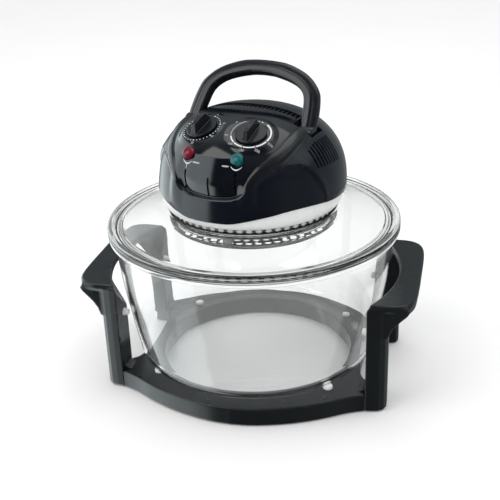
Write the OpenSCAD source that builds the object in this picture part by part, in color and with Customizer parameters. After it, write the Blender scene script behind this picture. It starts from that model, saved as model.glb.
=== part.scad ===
// Countertop halogen oven: glass bowl in a two-grip stand, loose glass lid with the heating head.
// Origin: centre of the stand's footprint on the table. +Z up, grips on +X and -X, front at -Y.

/* [Bowl] */
// Radius over the rim bead of the bowl
rim_r = 165; // [155:1:175]
// Height of the top of the bowl above the table
rim_z = 185; // [175:1:190]
// Thickness of the glass
glass_t = 5; // [4:0.5:6]
// Height of the bowl's underside above the table
bowl_z = 26; // [24:0.5:28]

/* [Stand] */
// Height of the ring base
base_h = 22; // [18:1:24]
// Radius of the opening in the ring base
base_hole_r = 112; // [100:1:114]
// Height of the top of the grips
grip_z = 132; // [120:1:140]
// Distance from the centre to the outside of a grip
grip_x = 191; // [184:1:200]

/* [Head] */
// Turn of the lid and its head against the stand, degrees
head_turn = -14.2; // [-60:0.1:60]
// Radius of the housing at its lower edge
head_r = 105; // [100:1:106]
// Height of the top of the housing above the table
head_top = 316; // [310:1:320]
// Forward tilt of the knob axes from the vertical, degrees
knob_tilt = 22.3; // [18:0.1:30]
// Outward tilt of the knob axes, degrees
knob_splay = 6.8; // [0:0.1:10]
// Distance of each knob from the centre line
knob_x = 29; // [27:0.5:31]
// Radius of the knobs
knob_r = 17; // [14:0.5:18]

/* [Carry handle] */
// Backward lean of the handle when it is down, degrees
handle_lean = 37.5; // [30:0.5:45]
// Height of the handle above its pivot
handle_h = 78.6; // [70:0.2:80]
// Half the width over the handle
handle_w = 77; // [74:0.5:78]

/* [Fan] */
// Radius of the hot air fan
fan_r = 44; // [35:1:50]
// Radius of the fan shaft
shaft_r = 3; // [2.5:0.1:4]

/* [Hidden] */
$fn = 96;
foot_h = 1;
post_x = 140;
post_out = 162.5;
grip_cut_r = rim_r + 1.5;
lid_z = rim_z + 0.3;
seat_z = 206;          // top of the glass where the collar sits
collar_z = 207.5;
side_z = 232;          // height where the dome begins
dome_n = 2.45;
piv_y = -3.5;
piv_z = 293.7;
pin_r = 4;
knob_y = -54;
knob_z = 304.5;
lamp_x = 28.3;
lamp_y = -84.5;
lamp_z = 286.5;
lamp_tilt = 40;

// ---------- shared shapes ----------

module turned() { rotate([0, 0, head_turn]) children(); }
module both_x() { children(); mirror([1, 0, 0]) children(); }
module both_y() { children(); mirror([0, 1, 0]) children(); }

// one quarter of the base outline, from the front centre round to the side
quarter = [[0, -141], [20, -139.6], [40, -135.5], [60, -129.5], [80, -121.5], [100, -111], [116, -101], [128, -94.5],
 [138, -90.5], [148, -89], [155, -87.5], [160, -83.5], [162.5, -78], [162.5, -68], [160, -64], [154, -62], [146, -61],
 [139, -58.5], [134, -54], [130.5, -47], [128.5, -38], [127, -25], [126, -12], [126, 0]];
module base_plan() {
  both_x() both_y() polygon(concat([[0, 0]], quarter));
}
module post_plan() {
  intersection() {
    polygon(concat([[0, 0]], quarter));
    translate([post_x, -100]) square([40, 60]);
  }
}

// dome of the housing: a superellipse turned about the axis; d grows it, z0 cuts it off below
function dome_pts(d, n = 12) = [for (i = [0:n]) let(t = 90 * i / n)
  [(head_r + d) * pow(cos(t), 2 / dome_n), side_z + (head_top - side_z + d) * pow(sin(t), 2 / dome_n)]];
module dome_solid(d, zlow) {
  rotate_extrude($fn = 72) polygon(concat([[0, zlow], [head_r + d - 0.6, zlow], [head_r + d, side_z - 2]],
    [for (p = dome_pts(d)) if (p[0] > 0.01) p], [[0, head_top + d]]));
}
module dome_shell(d_out, d_in, zlow) {
  difference() { dome_solid(d_out, zlow); dome_solid(d_in, zlow - 1); }
}

// plan of the control hood and of the raised border round it
hood_half = [[0, 0], [55, 0], [55.5, -15.5], [61, -17.5], [62, -33], [59, -51], [56, -67], [51, -77], [45, -87],
 [39.5, -93], [37, -112], [0, -112]];
ridge_half = [[55.5, -15.5], [74, -15.5], [76, -31], [72.5, -56], [63.5, -72], [54, -83], [45, -91.5], [41, -112],
 [37, -112], [39.5, -93], [45, -87], [51, -77], [56, -67], [59, -51], [62, -33], [61, -17.5]];
module hood_column() { translate([0, 0, 244.5]) linear_extrude(90) both_x() polygon(hood_half); }
module ridge_column() { translate([0, 0, 236]) linear_extrude(90) both_x() polygon(ridge_half); }

// round cheeks of the lower housing that reach up into the upper one
module cheeks(r) {
  both_x() rotate([0, 0, 50]) translate([0, -60, 235]) rotate([90, 0, 0]) cylinder(r = r, h = 80);
}
module handle_slots(g = 0) {
  both_x() translate([57.5 - g, -14 - g, 284 - g]) cube([22 + 2 * g, 28 + 2 * g, 60]);
}
module at_knob(s) { translate([s * knob_x, knob_y, knob_z]) rotate([knob_tilt, 0, 0]) rotate([0, s * knob_splay, 0]) children(); }
module at_lamp(s) { translate([s * lamp_x, lamp_y, lamp_z]) rotate([lamp_tilt, 0, 0]) children(); }
module at_pivot() { translate([0, piv_y, piv_z]) children(); }

// ---------- stand ----------

module base_ring() {
  color([0.05, 0.05, 0.055]) difference() {
    translate([0, 0, foot_h]) linear_extrude(base_h - foot_h) base_plan();
    translate([0, 0, -1]) cylinder(r = base_hole_r, h = 60);
    // seats of the four posts
    translate([0, 0, -1]) linear_extrude(40) both_x() both_y()
      translate([post_x, -100]) square([40, 60]);
    // channel under the ring that leaves the walls standing
    translate([0, 0, 0]) rotate_extrude() translate([base_hole_r + 3.5, 0]) square([7.5, base_h - 4]);
    // sockets of the feet
    both_x() both_y() translate([100, -92, 0]) cylinder(r = 7, h = 3);
    // sockets of the glass bumpers
    both_x() both_y() translate([98, -82, base_h - 2]) cylinder(r = 3.5, h = 5);
  }
  // tongues that the feet of the posts sit on
  color([0.05, 0.05, 0.055]) both_x() both_y() difference() {
    translate([136, -82, 3]) cube([20, 14, 5]);
    translate([149, -75, 0]) cylinder(r = 1.9, h = 10);
  }
}
module handle_frame() {
  difference() {
    union() {
      // posts
      translate([0, 0, foot_h]) linear_extrude(grip_z - 5 - foot_h) both_y() post_plan();
      // grip plate
      translate([0, 0, grip_z - 7]) linear_extrude(7) difference() {
        polygon([[138, -87.5], [166, -87.5], [178, -83], [186, -74], [grip_x - 1, -58], [grip_x, -30], [grip_x, 30],
          [grip_x - 1, 58], [186, 74], [178, 83], [166, 87.5], [138, 87.5]]);
        circle(r = grip_cut_r);
      }
      // outer lip of the grip
      translate([0, 0, grip_z - 15]) linear_extrude(10) difference() {
        polygon([[168, -83], [177, -80], [184, -72], [grip_x - 2.5, -57], [grip_x - 1.5, -30], [grip_x - 1.5, 30],
          [grip_x - 2.5, 57], [184, 72], [177, 80], [168, 83]]);
        polygon([[160, -78], [174, -76], [180, -68], [grip_x - 7.5, -55], [grip_x - 6.5, -30], [grip_x - 6.5, 30],
          [grip_x - 7.5, 55], [180, 68], [174, 76], [160, 78]]);
      }
      // flared ends that carry the grip on the posts
      both_y() translate([0, -64, 0]) rotate([90, 0, 0]) linear_extrude(20)
        polygon([[150, grip_z - 3], [180, grip_z - 3], [182, grip_z - 10], [178, grip_z - 16], [170, grip_z - 25],
          [165, grip_z - 32], [162.4, grip_z - 40], [150, grip_z - 40]]);
    }
    // room for the bowl
    translate([0, 0, 96]) cylinder(r1 = 152, r2 = grip_cut_r, h = 32);
    translate([0, 0, 127]) cylinder(r = grip_cut_r, h = 20);
    // pockets for the tongues of the base, screw holes and sockets of the glass bumpers
    both_y() translate([139, -82.1, 0]) cube([17.1, 14.2, 8.1]);
    both_y() translate([149, -75, 7]) cylinder(r = 1.6, h = 14);
    both_y() translate([139, -70, 90]) rotate([0, 90, 0]) cylinder(r = 2.5, h = 4);
  }
}
module handle_frame_right() { color([0.05, 0.05, 0.055]) handle_frame(); }
module handle_frame_left() { color([0.05, 0.05, 0.055]) mirror([1, 0, 0]) handle_frame(); }
module stand_screws() {
  color([0.75, 0.75, 0.77]) both_x() both_y() translate([149, -75, 1]) {
    cylinder(r = 1.6, h = 19);
    difference() { cylinder(r = 3.4, h = 2); translate([-2.5, -0.4, -1]) cube([5, 0.8, 2]); }
  }
}
module base_bumpers() {
  color([0.93, 0.93, 0.93]) both_x() both_y() translate([98, -82, 0]) {
    translate([0, 0, base_h - 2]) cylinder(r = 3.5, h = 3);
    translate([0, 0, base_h]) cylinder(r1 = 5.5, r2 = 5, h = 3.7);
  }
}
module post_bumpers() {
  color([0.93, 0.93, 0.93]) both_x() both_y() translate([post_x, -70, 90]) rotate([0, 90, 0]) {
    translate([0, 0, -1]) cylinder(r = 2.5, h = 4);
    translate([0, 0, -6.4]) cylinder(r1 = 3.4, r2 = 4.4, h = 6.4);
  }
}
module stand_feet() {
  color([0.12, 0.12, 0.12]) both_x() both_y() translate([100, -92, 0]) cylinder(r = 7, h = 3);
}

// ---------- bowl ----------

module glass_bowl() {
  z = bowl_z; t = glass_t; c = 20;
  color([0.82, 0.86, 0.86, 0.35]) rotate_extrude($fn = 180) polygon(concat(
    [[0, z], [120, z]],
    [for (a = [15:15:90]) [120 + c * sin(a), z + c - c * cos(a)]],
    [[144, 67], [148, 92], [152.5, 119], [156, 150], [157.8, 172], [158.6, rim_z - 7], [161, rim_z - 5.7],
     [rim_r - 1.2, rim_z - 5.4], [rim_r, rim_z - 4], [rim_r, rim_z - 1.6], [rim_r - 1.4, rim_z],
     [154.4, rim_z], [153, rim_z - 1.4], [152.8, 172], [151, 150], [147.5, 119], [143, 92], [139, 67], [135.4, 50]],
    [for (a = [90:-15:15]) [119 + 16.4 * sin(a), z + t + 16 - 16 * cos(a)]],
    [[119, z + t], [0, z + t]]));
}

// ---------- lid ----------

module glass_lid() {
  z = lid_z;
  color([0.82, 0.86, 0.86, 0.35]) rotate_extrude($fn = 180) polygon([
    [94, seat_z], [106, seat_z], [110, 204.6], [122, 199.6], [136, 194.6], [148, 191], [156, 189.2], [158.4, 189.8],
    [160.4, z + 5.2], [rim_r - 2, z + 5.6], [rim_r - 0.4, z + 4.6], [rim_r, z + 3.2], [rim_r, z + 1.4], [rim_r - 1.4, z],
    [152, z], [150.8, z - 3], [147.6, z - 3], [146.4, z + 1], [134, 189.2], [120, 194.2], [109, 199.6], [104, 201],
    [94, 201]]);
}
module lid_gasket() {
  color([0.85, 0.85, 0.84]) translate([0, 0, seat_z]) difference() {
    cylinder(r = 99, h = collar_z - seat_z);
    translate([0, 0, -1]) cylinder(r = 94, h = 5);
  }
}
module collar_ring() {
  color([0.93, 0.93, 0.92]) difference() {
    rotate_extrude($fn = 144) polygon([[88.5, 201.2], [93.2, 201.2], [93.2, collar_z], [96.4, collar_z], [98.4, 209.4],
      [99.8, 213], [101, 218], [102, 224], [102, 237], [99, 237], [98.4, 226], [84, 226], [84, 222.5], [88.5, 222.5]]);
    for (a = [0:60:300]) rotate([0, 0, a + 20]) translate([90.9, 0, 200]) cylinder(r = 1.3, h = 14);
    for (a = [40, 140, 220, 320]) rotate([0, 0, a + head_turn]) translate([86, 0, 220]) cylinder(r = 1.6, h = 10);
  }
}
module clamp_ring() {
  color([0.8, 0.8, 0.8]) difference() {
    translate([0, 0, 199.4]) cylinder(r = 101, h = 1.6);
    translate([0, 0, 199]) cylinder(r = 86.5, h = 3);
    for (a = [0:60:300]) rotate([0, 0, a + 20]) translate([90.9, 0, 198]) cylinder(r = 1.8, h = 5);
  }
}
module clamp_screws() {
  color([0.75, 0.75, 0.77]) for (a = [0:60:300]) rotate([0, 0, a + 20]) translate([90.9, 0, 0]) {
    translate([0, 0, 197.4]) cylinder(r = 2.6, h = 2);
    translate([0, 0, 199]) cylinder(r = 1.3, h = 12);
  }
}

// ---------- housing ----------

module skirt_cuts() {
  // the lower edge climbs from the chin to the sides
  both_x() rotate([0, 0, 56]) translate([0, -60, 143]) rotate([90, 0, 0]) cylinder(r = 90, h = 80, $fn = 180);
  difference() {
    translate([0, 0, 200]) cylinder(r = 130, h = 29.5);
    translate([-130, -200, 199]) cube([260, 118, 40]);
  }
}
module lower_housing() {
  color([0.04, 0.04, 0.045]) turned() difference() {
    intersection() {
      dome_shell(-0.4, -2.6, 221);
      union() {
        translate([0, 0, 220]) cylinder(r = 130, h = 16);
        cheeks(42);
        translate([-47, -120, 220]) cube([94, 60, 24.3]);
      }
    }
    skirt_cuts();
    // cord inlet at the back
    translate([0, 80, 248]) rotate([-90, 0, 0]) cylinder(r = 6.1, h = 40);
  }
}
module upper_housing() {
  color([0.04, 0.04, 0.045]) turned() difference() {
    dome_shell(0, -2.8, 236.2);
    hood_column();
    ridge_column();
    cheeks(42.25);
    translate([-47.3, -120, 220]) cube([94.6, 60, 24.5]);
    handle_slots(0.2);
    translate([-53, -2, 290]) cube([106, 15, 60]);
    // nine cooling slots on each side
    both_x() for (i = [0:8]) translate([82.6, -32 + i * 5, 268]) cube([30, 2.2, 23]);
    // cord inlet at the back
    translate([0, 80, 248]) rotate([-90, 0, 0]) cylinder(r = 6.1, h = 40);
  }
}
module hood_border() {
  color([0.03, 0.03, 0.035]) turned() difference() {
    intersection() { dome_shell(1.6, -2.8, 244.6); ridge_column(); }
    cheeks(42.25);
    handle_slots(0.2);
  }
}
module channel_strip() {
  color([0.05, 0.05, 0.055]) turned() intersection() {
    dome_shell(-3.2, -5.6, 240);
    translate([-54.4, -3, 290]) cube([108.8, 17, 60]);
  }
}
module housing_frame() {
  color([0.06, 0.06, 0.065]) turned() difference() {
    union() {
      both_x() intersection() {
        dome_solid(-3.2, 240);
        translate([54.8, -16.4, 281.4]) cube([27, 32.8, 50]);
      }
      both_x() at_pivot() translate([46, 0, 0]) rotate([0, 90, 0]) cylinder(r = 8, h = 9.5);
      at_pivot() translate([46.6, -6, -24]) cube([1.5, 12, 18]);
      // screw pillars, each on a rib of the shell
      for (a = [40, 140, 220, 320]) rotate([0, 0, a]) {
        translate([86, 0, 226]) cylinder(r = 4.5, h = 28);
        intersection() {
          rotate([0, 0, -a]) dome_solid(-3, 238);
          translate([86, -1.25, 238]) cube([20, 2.5, 16]);
        }
      }
    }
    handle_slots();
    both_x() at_pivot() translate([40, 0, 0]) rotate([0, 90, 0]) cylinder(r = pin_r + 0.06, h = 30);
    for (a = [40, 140, 220, 320]) rotate([0, 0, a]) translate([86, 0, 220]) cylinder(r = 1.4, h = 30);
  }
}
module control_hood() {
  color([0.03, 0.03, 0.035]) turned() difference() {
    union() {
      difference() {
        intersection() { dome_shell(1.4, -2.4, 244.6); hood_column(); }
        for (s = [-1, 1]) at_knob(s) cylinder(r = knob_r + 1.5, h = 30);
      }
      for (s = [-1, 1]) at_knob(s) translate([0, 0, -6]) cylinder(r = 22, h = 6);
    }
    handle_slots(0.3);
    for (s = [-1, 1]) at_knob(s) translate([0, 0, -20]) cylinder(r = 4.2, h = 40);
    for (s = [-1, 1]) at_lamp(s) translate([0, 0, -20]) cylinder(r = 6.1, h = 40);
    // three slots in the nose
    for (x = [-29, 0, 29]) translate([x - 1.1, -115, 248]) cube([2.2, 40, 15]);
    // step under the nose
    translate([-60, -120, 240]) intersection() {
      cube([120, 30, 6]);
      translate([60, 120, 0]) difference() { cylinder(r = 130, h = 8); translate([0, 0, -1]) cylinder(r = 101, h = 12); }
    }
  }
}
module housing_screws() {
  color([0.75, 0.75, 0.77]) turned() for (a = [40, 140, 220, 320]) rotate([0, 0, a]) translate([86, 0, 0]) {
    translate([0, 0, 220.4]) cylinder(r = 2.3, h = 2);
    translate([0, 0, 222]) cylinder(r = 1.4, h = 22);
  }
}
module power_lens() {
  color([0.7, 0.04, 0.06]) turned() at_lamp(-1) { translate([0, 0, -6]) cylinder(r = 6.0, h = 8.6); translate([0, 0, 2.6]) cylinder(r1 = 7.2, r2 = 5.4, h = 1.8); }
}
module heat_lens() {
  color([0.05, 0.5, 0.42]) turned() at_lamp(1) { translate([0, 0, -6]) cylinder(r = 6.0, h = 8.6); translate([0, 0, 2.6]) cylinder(r1 = 7.2, r2 = 5.4, h = 1.8); }
}
module neon_lamps() {
  color([0.9, 0.6, 0.4]) turned() for (s = [-1, 1]) at_lamp(s) {
    translate([0, 0, -16]) cylinder(r = 2.6, h = 8);
    translate([0, 0, -20]) cylinder(r = 4, h = 4.2);
  }
}

// ---------- controls ----------

module timer_body() {
  color([0.85, 0.85, 0.8]) turned() at_knob(-1) difference() {
    union() { translate([-16, -15, -30]) cube([32, 32, 18]); translate([0, 0, -12]) cylinder(r = 8, h = 5); }
    translate([0, 0, -31]) cylinder(r = 3.05, h = 40);
  }
}
module thermostat_body() {
  color([0.75, 0.75, 0.72]) turned() at_knob(1) difference() {
    union() { translate([-14, -13, -28]) cube([28, 28, 14]); translate([0, 0, -14]) cylinder(r = 9, h = 7); }
    translate([0, 0, -29]) cylinder(r = 3.05, h = 40);
  }
}
module d_shaft(low, high) {
  difference() {
    translate([0, 0, low]) cylinder(r = 3, h = high - low);
    translate([1.6, -5, 3]) cube([5, 10, 20]);
  }
}
module timer_shaft() { color([0.75, 0.75, 0.77]) turned() at_knob(-1) d_shaft(-29, 12); }
module thermostat_shaft() { color([0.75, 0.75, 0.77]) turned() at_knob(1) d_shaft(-27, 12); }
module knob(a) {
  difference() {
    rotate([0, 0, a]) union() {
      translate([0, 0, 0.8]) cylinder(r1 = knob_r, r2 = knob_r - 0.8, h = 5);
      // grip bar with sloped ends
      intersection() {
        rotate([90, 0, 0]) translate([0, 0, -20]) linear_extrude(40)
          polygon([[-4.6, 4], [4.6, 4], [3.6, 15.2], [2.6, 16], [-2.6, 16], [-3.6, 15.2]]);
        rotate([90, 0, 90]) translate([0, 0, -20]) linear_extrude(40)
          polygon([[-15.6, 4], [15.6, 4], [8.6, 16], [-8.6, 16]]);
      }
    }
    difference() { cylinder(r = 3, h = 12); translate([1.6, -5, 3]) cube([5, 10, 20]); }
    translate([0, 0, -1]) cylinder(r = 3, h = 4.01);
  }
}
module timer_knob() { color([0.04, 0.04, 0.045]) turned() at_knob(-1) knob(-8); }
module thermostat_knob() { color([0.04, 0.04, 0.045]) turned() at_knob(1) knob(-2); }

// ---------- carry handle and its switch ----------

handle_out = [[handle_w, -2], [handle_w, 13], [75.8, 26], [74, 37], [71, 47], [65, 55.5], [57, 63], [46, 69.5],
 [29, 75.8], [14, 78]];
handle_in = [[60, 0], [60, 12], [58, 26], [57, 34], [54.6, 41], [48, 48.5], [39, 53.5], [27, 58], [14, 61.4]];
module carry_handle() {
  color([0.03, 0.03, 0.035]) turned() at_pivot() rotate([-handle_lean, 0, 0]) difference() {
    union() {
      rotate([90, 0, 0]) translate([0, 0, -6.5]) linear_extrude(13) {
        both_x() polygon(concat([[0, handle_h - 16.2], [0, handle_h]], [for (i = [len(handle_out) - 1:-1:0]) handle_out[i]],
          [[60, -2]], handle_in));
      }
      both_x() translate([60, 0, 0]) rotate([0, 90, 0]) cylinder(r = 8.6, h = handle_w - 60);
    }
    both_x() translate([59, 0, 0]) rotate([0, 90, 0]) cylinder(r = pin_r, h = 12.5);
  }
}
module handle_pins() {
  color([0.75, 0.75, 0.77]) turned() at_pivot() {
    both_x() translate([44, 0, 0]) rotate([0, 90, 0]) cylinder(r = pin_r, h = 27.5);
    // cam on the right pin
    rotate([30, 0, 0]) translate([40, 0, -2.5]) rotate([0, 90, 0]) cylinder(r = 5.5, h = 5);
  }
}
module switch_body() {
  color([0.1, 0.1, 0.1]) turned() at_pivot() difference() {
    translate([37.5, -8, -26]) cube([9, 19, 13]);
    translate([42, 0, -30]) cylinder(r = 2.06, h = 20);
  }
}
module switch_plunger() {
  color([0.9, 0.3, 0.2]) turned() at_pivot() translate([42, 0, -19]) cylinder(r = 2, h = 10.9);
}

// ---------- heater ----------

module reflector_dish() {
  color([0.86, 0.86, 0.86]) difference() {
    rotate_extrude($fn = 144) polygon([[9, 212], [20, 212], [70, 212], [78, 207], [84, 201.5], [88, 201.2], [88, 202.2],
      [84.6, 202.5], [78.6, 208], [70.4, 213], [20, 213], [9, 213]]);
    for (a = [70, 110]) turned() rotate([0, 0, a]) translate([60, 0, 200]) cylinder(r = 5, h = 20);
  }
}
module guard_dish() {
  color([0.82, 0.82, 0.82]) turned() difference() {
    rotate_extrude($fn = 144) polygon([[0, 184.3], [83, 184.3], [90.4, 186.6], [92.6, 188.4], [92.6, 196], [91.6, 196],
      [91.6, 188.9], [90, 187.5], [82.8, 185.3], [0, 185.3]]);
    for (k = [1:7]) let(r = 7.4 + k * 10.4, n = floor(2 * PI * r / 10.3))
      for (i = [0:n - 1]) rotate([0, 0, 360 * i / n]) translate([r, 0, 183]) cylinder(r = 3.2, h = 4, $fn = 24);
    translate([0, 0, 183]) cylinder(r = 4, h = 4);
  }
}
module guard_brackets() {
  color([0.8, 0.8, 0.8]) turned() for (a = [10, 100, 190, 280]) rotate([0, 0, a]) {
    translate([90.2, -5, 188.9]) cube([1.2, 10, 10.2]);
    translate([86.8, -5, 198.2]) cube([4.6, 10, 1]);
  }
}
module halogen_tube() {
  color([0.95, 0.95, 0.9, 0.6]) turned() {
    rotate([0, 0, 112]) rotate_extrude(angle = 316, $fn = 144) translate([62, 194.5]) circle(r = 4.6, $fn = 32);
    for (a = [70, 110]) rotate([0, 0, a]) translate([60, 0, 196]) cylinder(r = 3, h = 9);
  }
}
module tube_holders() {
  color([0.93, 0.93, 0.9]) turned() for (a = [70, 110]) rotate([0, 0, a]) translate([60, 0, 205]) cylinder(r = 4.9, h = 12);
}
module blades(r0, r1, h, n, tilt) {
  for (i = [0:n - 1]) rotate([0, 0, 360 * i / n]) translate([r0 - 2, -0.6, 0])
    rotate([tilt, 0, 0]) cube([r1 - r0 + 2, 1.2, h]);
}
module hot_air_fan() {
  color([0.75, 0.76, 0.78]) difference() {
    union() {
      translate([0, 0, 203]) cylinder(r = fan_r - 2, h = 1);
      translate([0, 0, 197]) cylinder(r = 8, h = 9);
      translate([0, 0, 196.5]) blades(10, fan_r, 7, 12, 0);
    }
    translate([0, 0, 190]) cylinder(r = shaft_r, h = 30);
  }
}
module fan_shaft() { color([0.75, 0.75, 0.77]) translate([0, 0, 196]) cylinder(r = shaft_r, h = 72); }
module motor_rotor() {
  color([0.5, 0.5, 0.52]) translate([0, 0, 232]) difference() {
    cylinder(r = 13, h = 20);
    translate([0, 0, -1]) cylinder(r = shaft_r, h = 30);
  }
}
module motor_stator() {
  color([0.45, 0.45, 0.47]) turned() translate([0, 0, 232]) difference() {
    translate([-32, -22, 0]) cube([64, 44, 20]);
    translate([0, 0, -1]) cylinder(r = 14, h = 30);
    translate([17, -12, -1]) cube([9, 24, 22]);
  }
}
module motor_coil() {
  color([0.7, 0.35, 0.15]) turned() translate([0, 0, 228]) difference() {
    translate([17.5, -11.5, 0]) cube([22, 23, 28]);
    translate([26, -30, 4]) cube([6, 60, 20]);
  }
}
module motor_bracket() {
  color([0.7, 0.7, 0.72]) turned() difference() {
    union() {
      translate([-12, -30, 227]) cube([24, 60, 1.5]);
      translate([-12, -30, 256]) cube([24, 60, 1.5]);
      both_y() translate([-12, -30, 220]) cube([24, 1.5, 37]);
      both_y() translate([-12, -40, 220]) cube([24, 10.5, 1.5]);
    }
    translate([0, 0, 220]) cylinder(r = 6, h = 45);
  }
}
module shaft_bushes() {
  color([0.72, 0.58, 0.3]) for (z = [225.5, 254.5]) translate([0, 0, z]) difference() {
    cylinder(r = 6, h = 4.5);
    translate([0, 0, -1]) cylinder(r = shaft_r + 0.05, h = 8);
  }
}
module cooling_fan() {
  color([0.2, 0.2, 0.22]) difference() {
    union() {
      translate([0, 0, 260]) cylinder(r = 9, h = 7);
      translate([0, 0, 260.5]) blades(7, 36, 8, 7, 35);
    }
    translate([0, 0, 250]) cylinder(r = shaft_r, h = 30);
  }
}
module heat_baffle() {
  color([0.85, 0.83, 0.76]) turned() difference() {
    translate([0, 0, 218.5]) cylinder(r = 82, h = 1.5);
    translate([0, 0, 215]) cylinder(r = 7.5, h = 10);
    for (a = [70, 110]) rotate([0, 0, a]) translate([60, 0, 215]) cylinder(r = 4, h = 10);
    for (a = [45, 135, 225, 315]) rotate([0, 0, a]) translate([66, 0, 215]) cylinder(r = 1.7, h = 10);
  }
}
module baffle_spacers() {
  color([0.7, 0.7, 0.72]) turned() for (a = [45, 135, 225, 315]) rotate([0, 0, a]) translate([66, 0, 0]) {
    translate([0, 0, 213]) cylinder(r = 3.2, h = 5.5);
    translate([0, 0, 218]) cylinder(r = 1.7, h = 3);
    translate([0, 0, 220]) cylinder(r = 3, h = 2.4);
  }
}
module thermal_cutout() {
  color([0.6, 0.6, 0.62]) turned() translate([-46, 30, 220]) { cylinder(r = 8, h = 5); translate([-3, -9, 5]) cube([6, 18, 3]); }
}
module terminal_block() {
  color([0.9, 0.9, 0.88]) turned() difference() {
    translate([-18, 56, 220]) cube([36, 14, 11]);
    for (x = [-12, 0, 12]) translate([x, 63, 224]) cylinder(r = 3, h = 10);
  }
}
module cord_gland() {
  color([0.06, 0.06, 0.06]) turned() translate([0, 0, 248]) rotate([-90, 0, 0]) difference() {
    union() {
      translate([0, 0, 92]) cylinder(r = 8.2, h = 4);
      translate([0, 0, 95]) cylinder(r = 6, h = 12);
      translate([0, 0, 105.6]) cylinder(r1 = 8.2, r2 = 6, h = 9);
    }
    translate([0, 0, 80]) cylinder(r = 3.6, h = 40);
  }
}

base_ring();
handle_frame_left();
handle_frame_right();
stand_screws();
base_bumpers();
post_bumpers();
stand_feet();
glass_bowl();
glass_lid();
lid_gasket();
collar_ring();
clamp_ring();
clamp_screws();
lower_housing();
upper_housing();
hood_border();
channel_strip();
housing_frame();
control_hood();
housing_screws();
power_lens();
heat_lens();
neon_lamps();
timer_body();
thermostat_body();
timer_shaft();
timer_knob();
thermostat_shaft();
thermostat_knob();
carry_handle();
handle_pins();
switch_body();
switch_plunger();
reflector_dish();
guard_dish();
guard_brackets();
halogen_tube();
tube_holders();
hot_air_fan();
fan_shaft();
motor_rotor();
motor_stator();
motor_coil();
motor_bracket();
shaft_bushes();
cooling_fan();
heat_baffle();
baffle_spacers();
thermal_cutout();
terminal_block();
cord_gland();
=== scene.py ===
import math
import bpy
import bmesh
import numpy as np
import openvdb
from mathutils import Matrix, Vector
from mathutils.bvhtree import BVHTree


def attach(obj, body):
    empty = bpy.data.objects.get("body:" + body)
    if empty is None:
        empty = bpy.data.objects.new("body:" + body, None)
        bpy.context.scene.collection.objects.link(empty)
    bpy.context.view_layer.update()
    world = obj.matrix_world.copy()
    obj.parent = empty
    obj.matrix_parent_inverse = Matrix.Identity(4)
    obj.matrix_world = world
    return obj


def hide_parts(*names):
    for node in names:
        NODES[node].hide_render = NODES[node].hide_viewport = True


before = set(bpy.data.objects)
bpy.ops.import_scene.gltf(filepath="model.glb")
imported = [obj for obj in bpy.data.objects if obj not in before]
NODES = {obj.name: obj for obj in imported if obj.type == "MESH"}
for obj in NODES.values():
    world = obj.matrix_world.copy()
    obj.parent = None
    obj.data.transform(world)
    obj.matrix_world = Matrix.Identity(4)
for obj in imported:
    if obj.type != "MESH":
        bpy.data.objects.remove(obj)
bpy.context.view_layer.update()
TURN = math.radians(-14.2)
MM = 0.001
scene = bpy.context.scene

# ------------------------------------------------------------------ helpers


def sm(x):
    x = np.clip(x, 0.0, 1.0)
    return x * x * (3 - 2 * x)


def rot_z(v, a):
    c, s = math.cos(a), math.sin(a)
    v = np.asarray(v, float)
    out = v.copy()
    out[:, 0] = v[:, 0] * c - v[:, 1] * s
    out[:, 1] = v[:, 0] * s + v[:, 1] * c
    return out


def new_object(name, verts, faces, turned=False, smooth=35.0):
    """verts in millimetres; turned puts a piece of the head at its place"""
    v = np.asarray(verts, float)
    if turned:
        v = rot_z(v, TURN)
    me = bpy.data.meshes.new(name)
    me.from_pydata((v * MM).tolist(), [], [list(f) for f in faces])
    me.validate()
    ob = bpy.data.objects.new(name, me)
    scene.collection.objects.link(ob)
    finish_mesh(ob, smooth)
    return ob


def grid_object(name, verts, quads, turned=False, smooth=35.0):
    v = np.asarray(verts, float)
    if turned:
        v = rot_z(v, TURN)
    q = np.asarray(quads, np.int32)
    me = bpy.data.meshes.new(name)
    me.vertices.add(len(v))
    me.vertices.foreach_set("co", (v * MM).astype(np.float32).ravel())
    me.loops.add(q.size)
    me.loops.foreach_set("vertex_index", q.ravel())
    me.polygons.add(len(q))
    me.polygons.foreach_set("loop_start", np.arange(0, q.size, q.shape[1], dtype=np.int32))
    me.update(calc_edges=True)
    me.validate()
    ob = bpy.data.objects.new(name, me)
    scene.collection.objects.link(ob)
    finish_mesh(ob, smooth)
    return ob


def finish_mesh(ob, smooth=35.0):
    me = ob.data
    me.polygons.foreach_set("use_smooth", np.ones(len(me.polygons), bool))
    if smooth:
        me.set_sharp_from_angle(angle=math.radians(smooth))
    me.update()


def bake(ob, smooth=35.0):
    dg = bpy.context.evaluated_depsgraph_get()
    dg.update()
    me = bpy.data.meshes.new_from_object(ob.evaluated_get(dg))
    ob.modifiers.clear()
    ob.data = me
    finish_mesh(ob, smooth)
    return ob


def copy_of(ob, name):
    n = bpy.data.objects.new(name, ob.data.copy())
    scene.collection.objects.link(n)
    return n


def cut(ob, cutter, op="DIFFERENCE", drop=True, solver="MANIFOLD"):
    before = len(ob.data.polygons)
    m = ob.modifiers.new("cut", "BOOLEAN")
    m.operation = op
    m.object = cutter
    m.solver = solver
    bake(ob)
    if len(ob.data.polygons) == 0 or (op == "INTERSECT" and len(ob.data.polygons) == before):
        print("CUT SUSPECT", ob.name, cutter.name, before, len(ob.data.polygons))
    if drop:
        bpy.data.objects.remove(cutter)
    return ob


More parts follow.
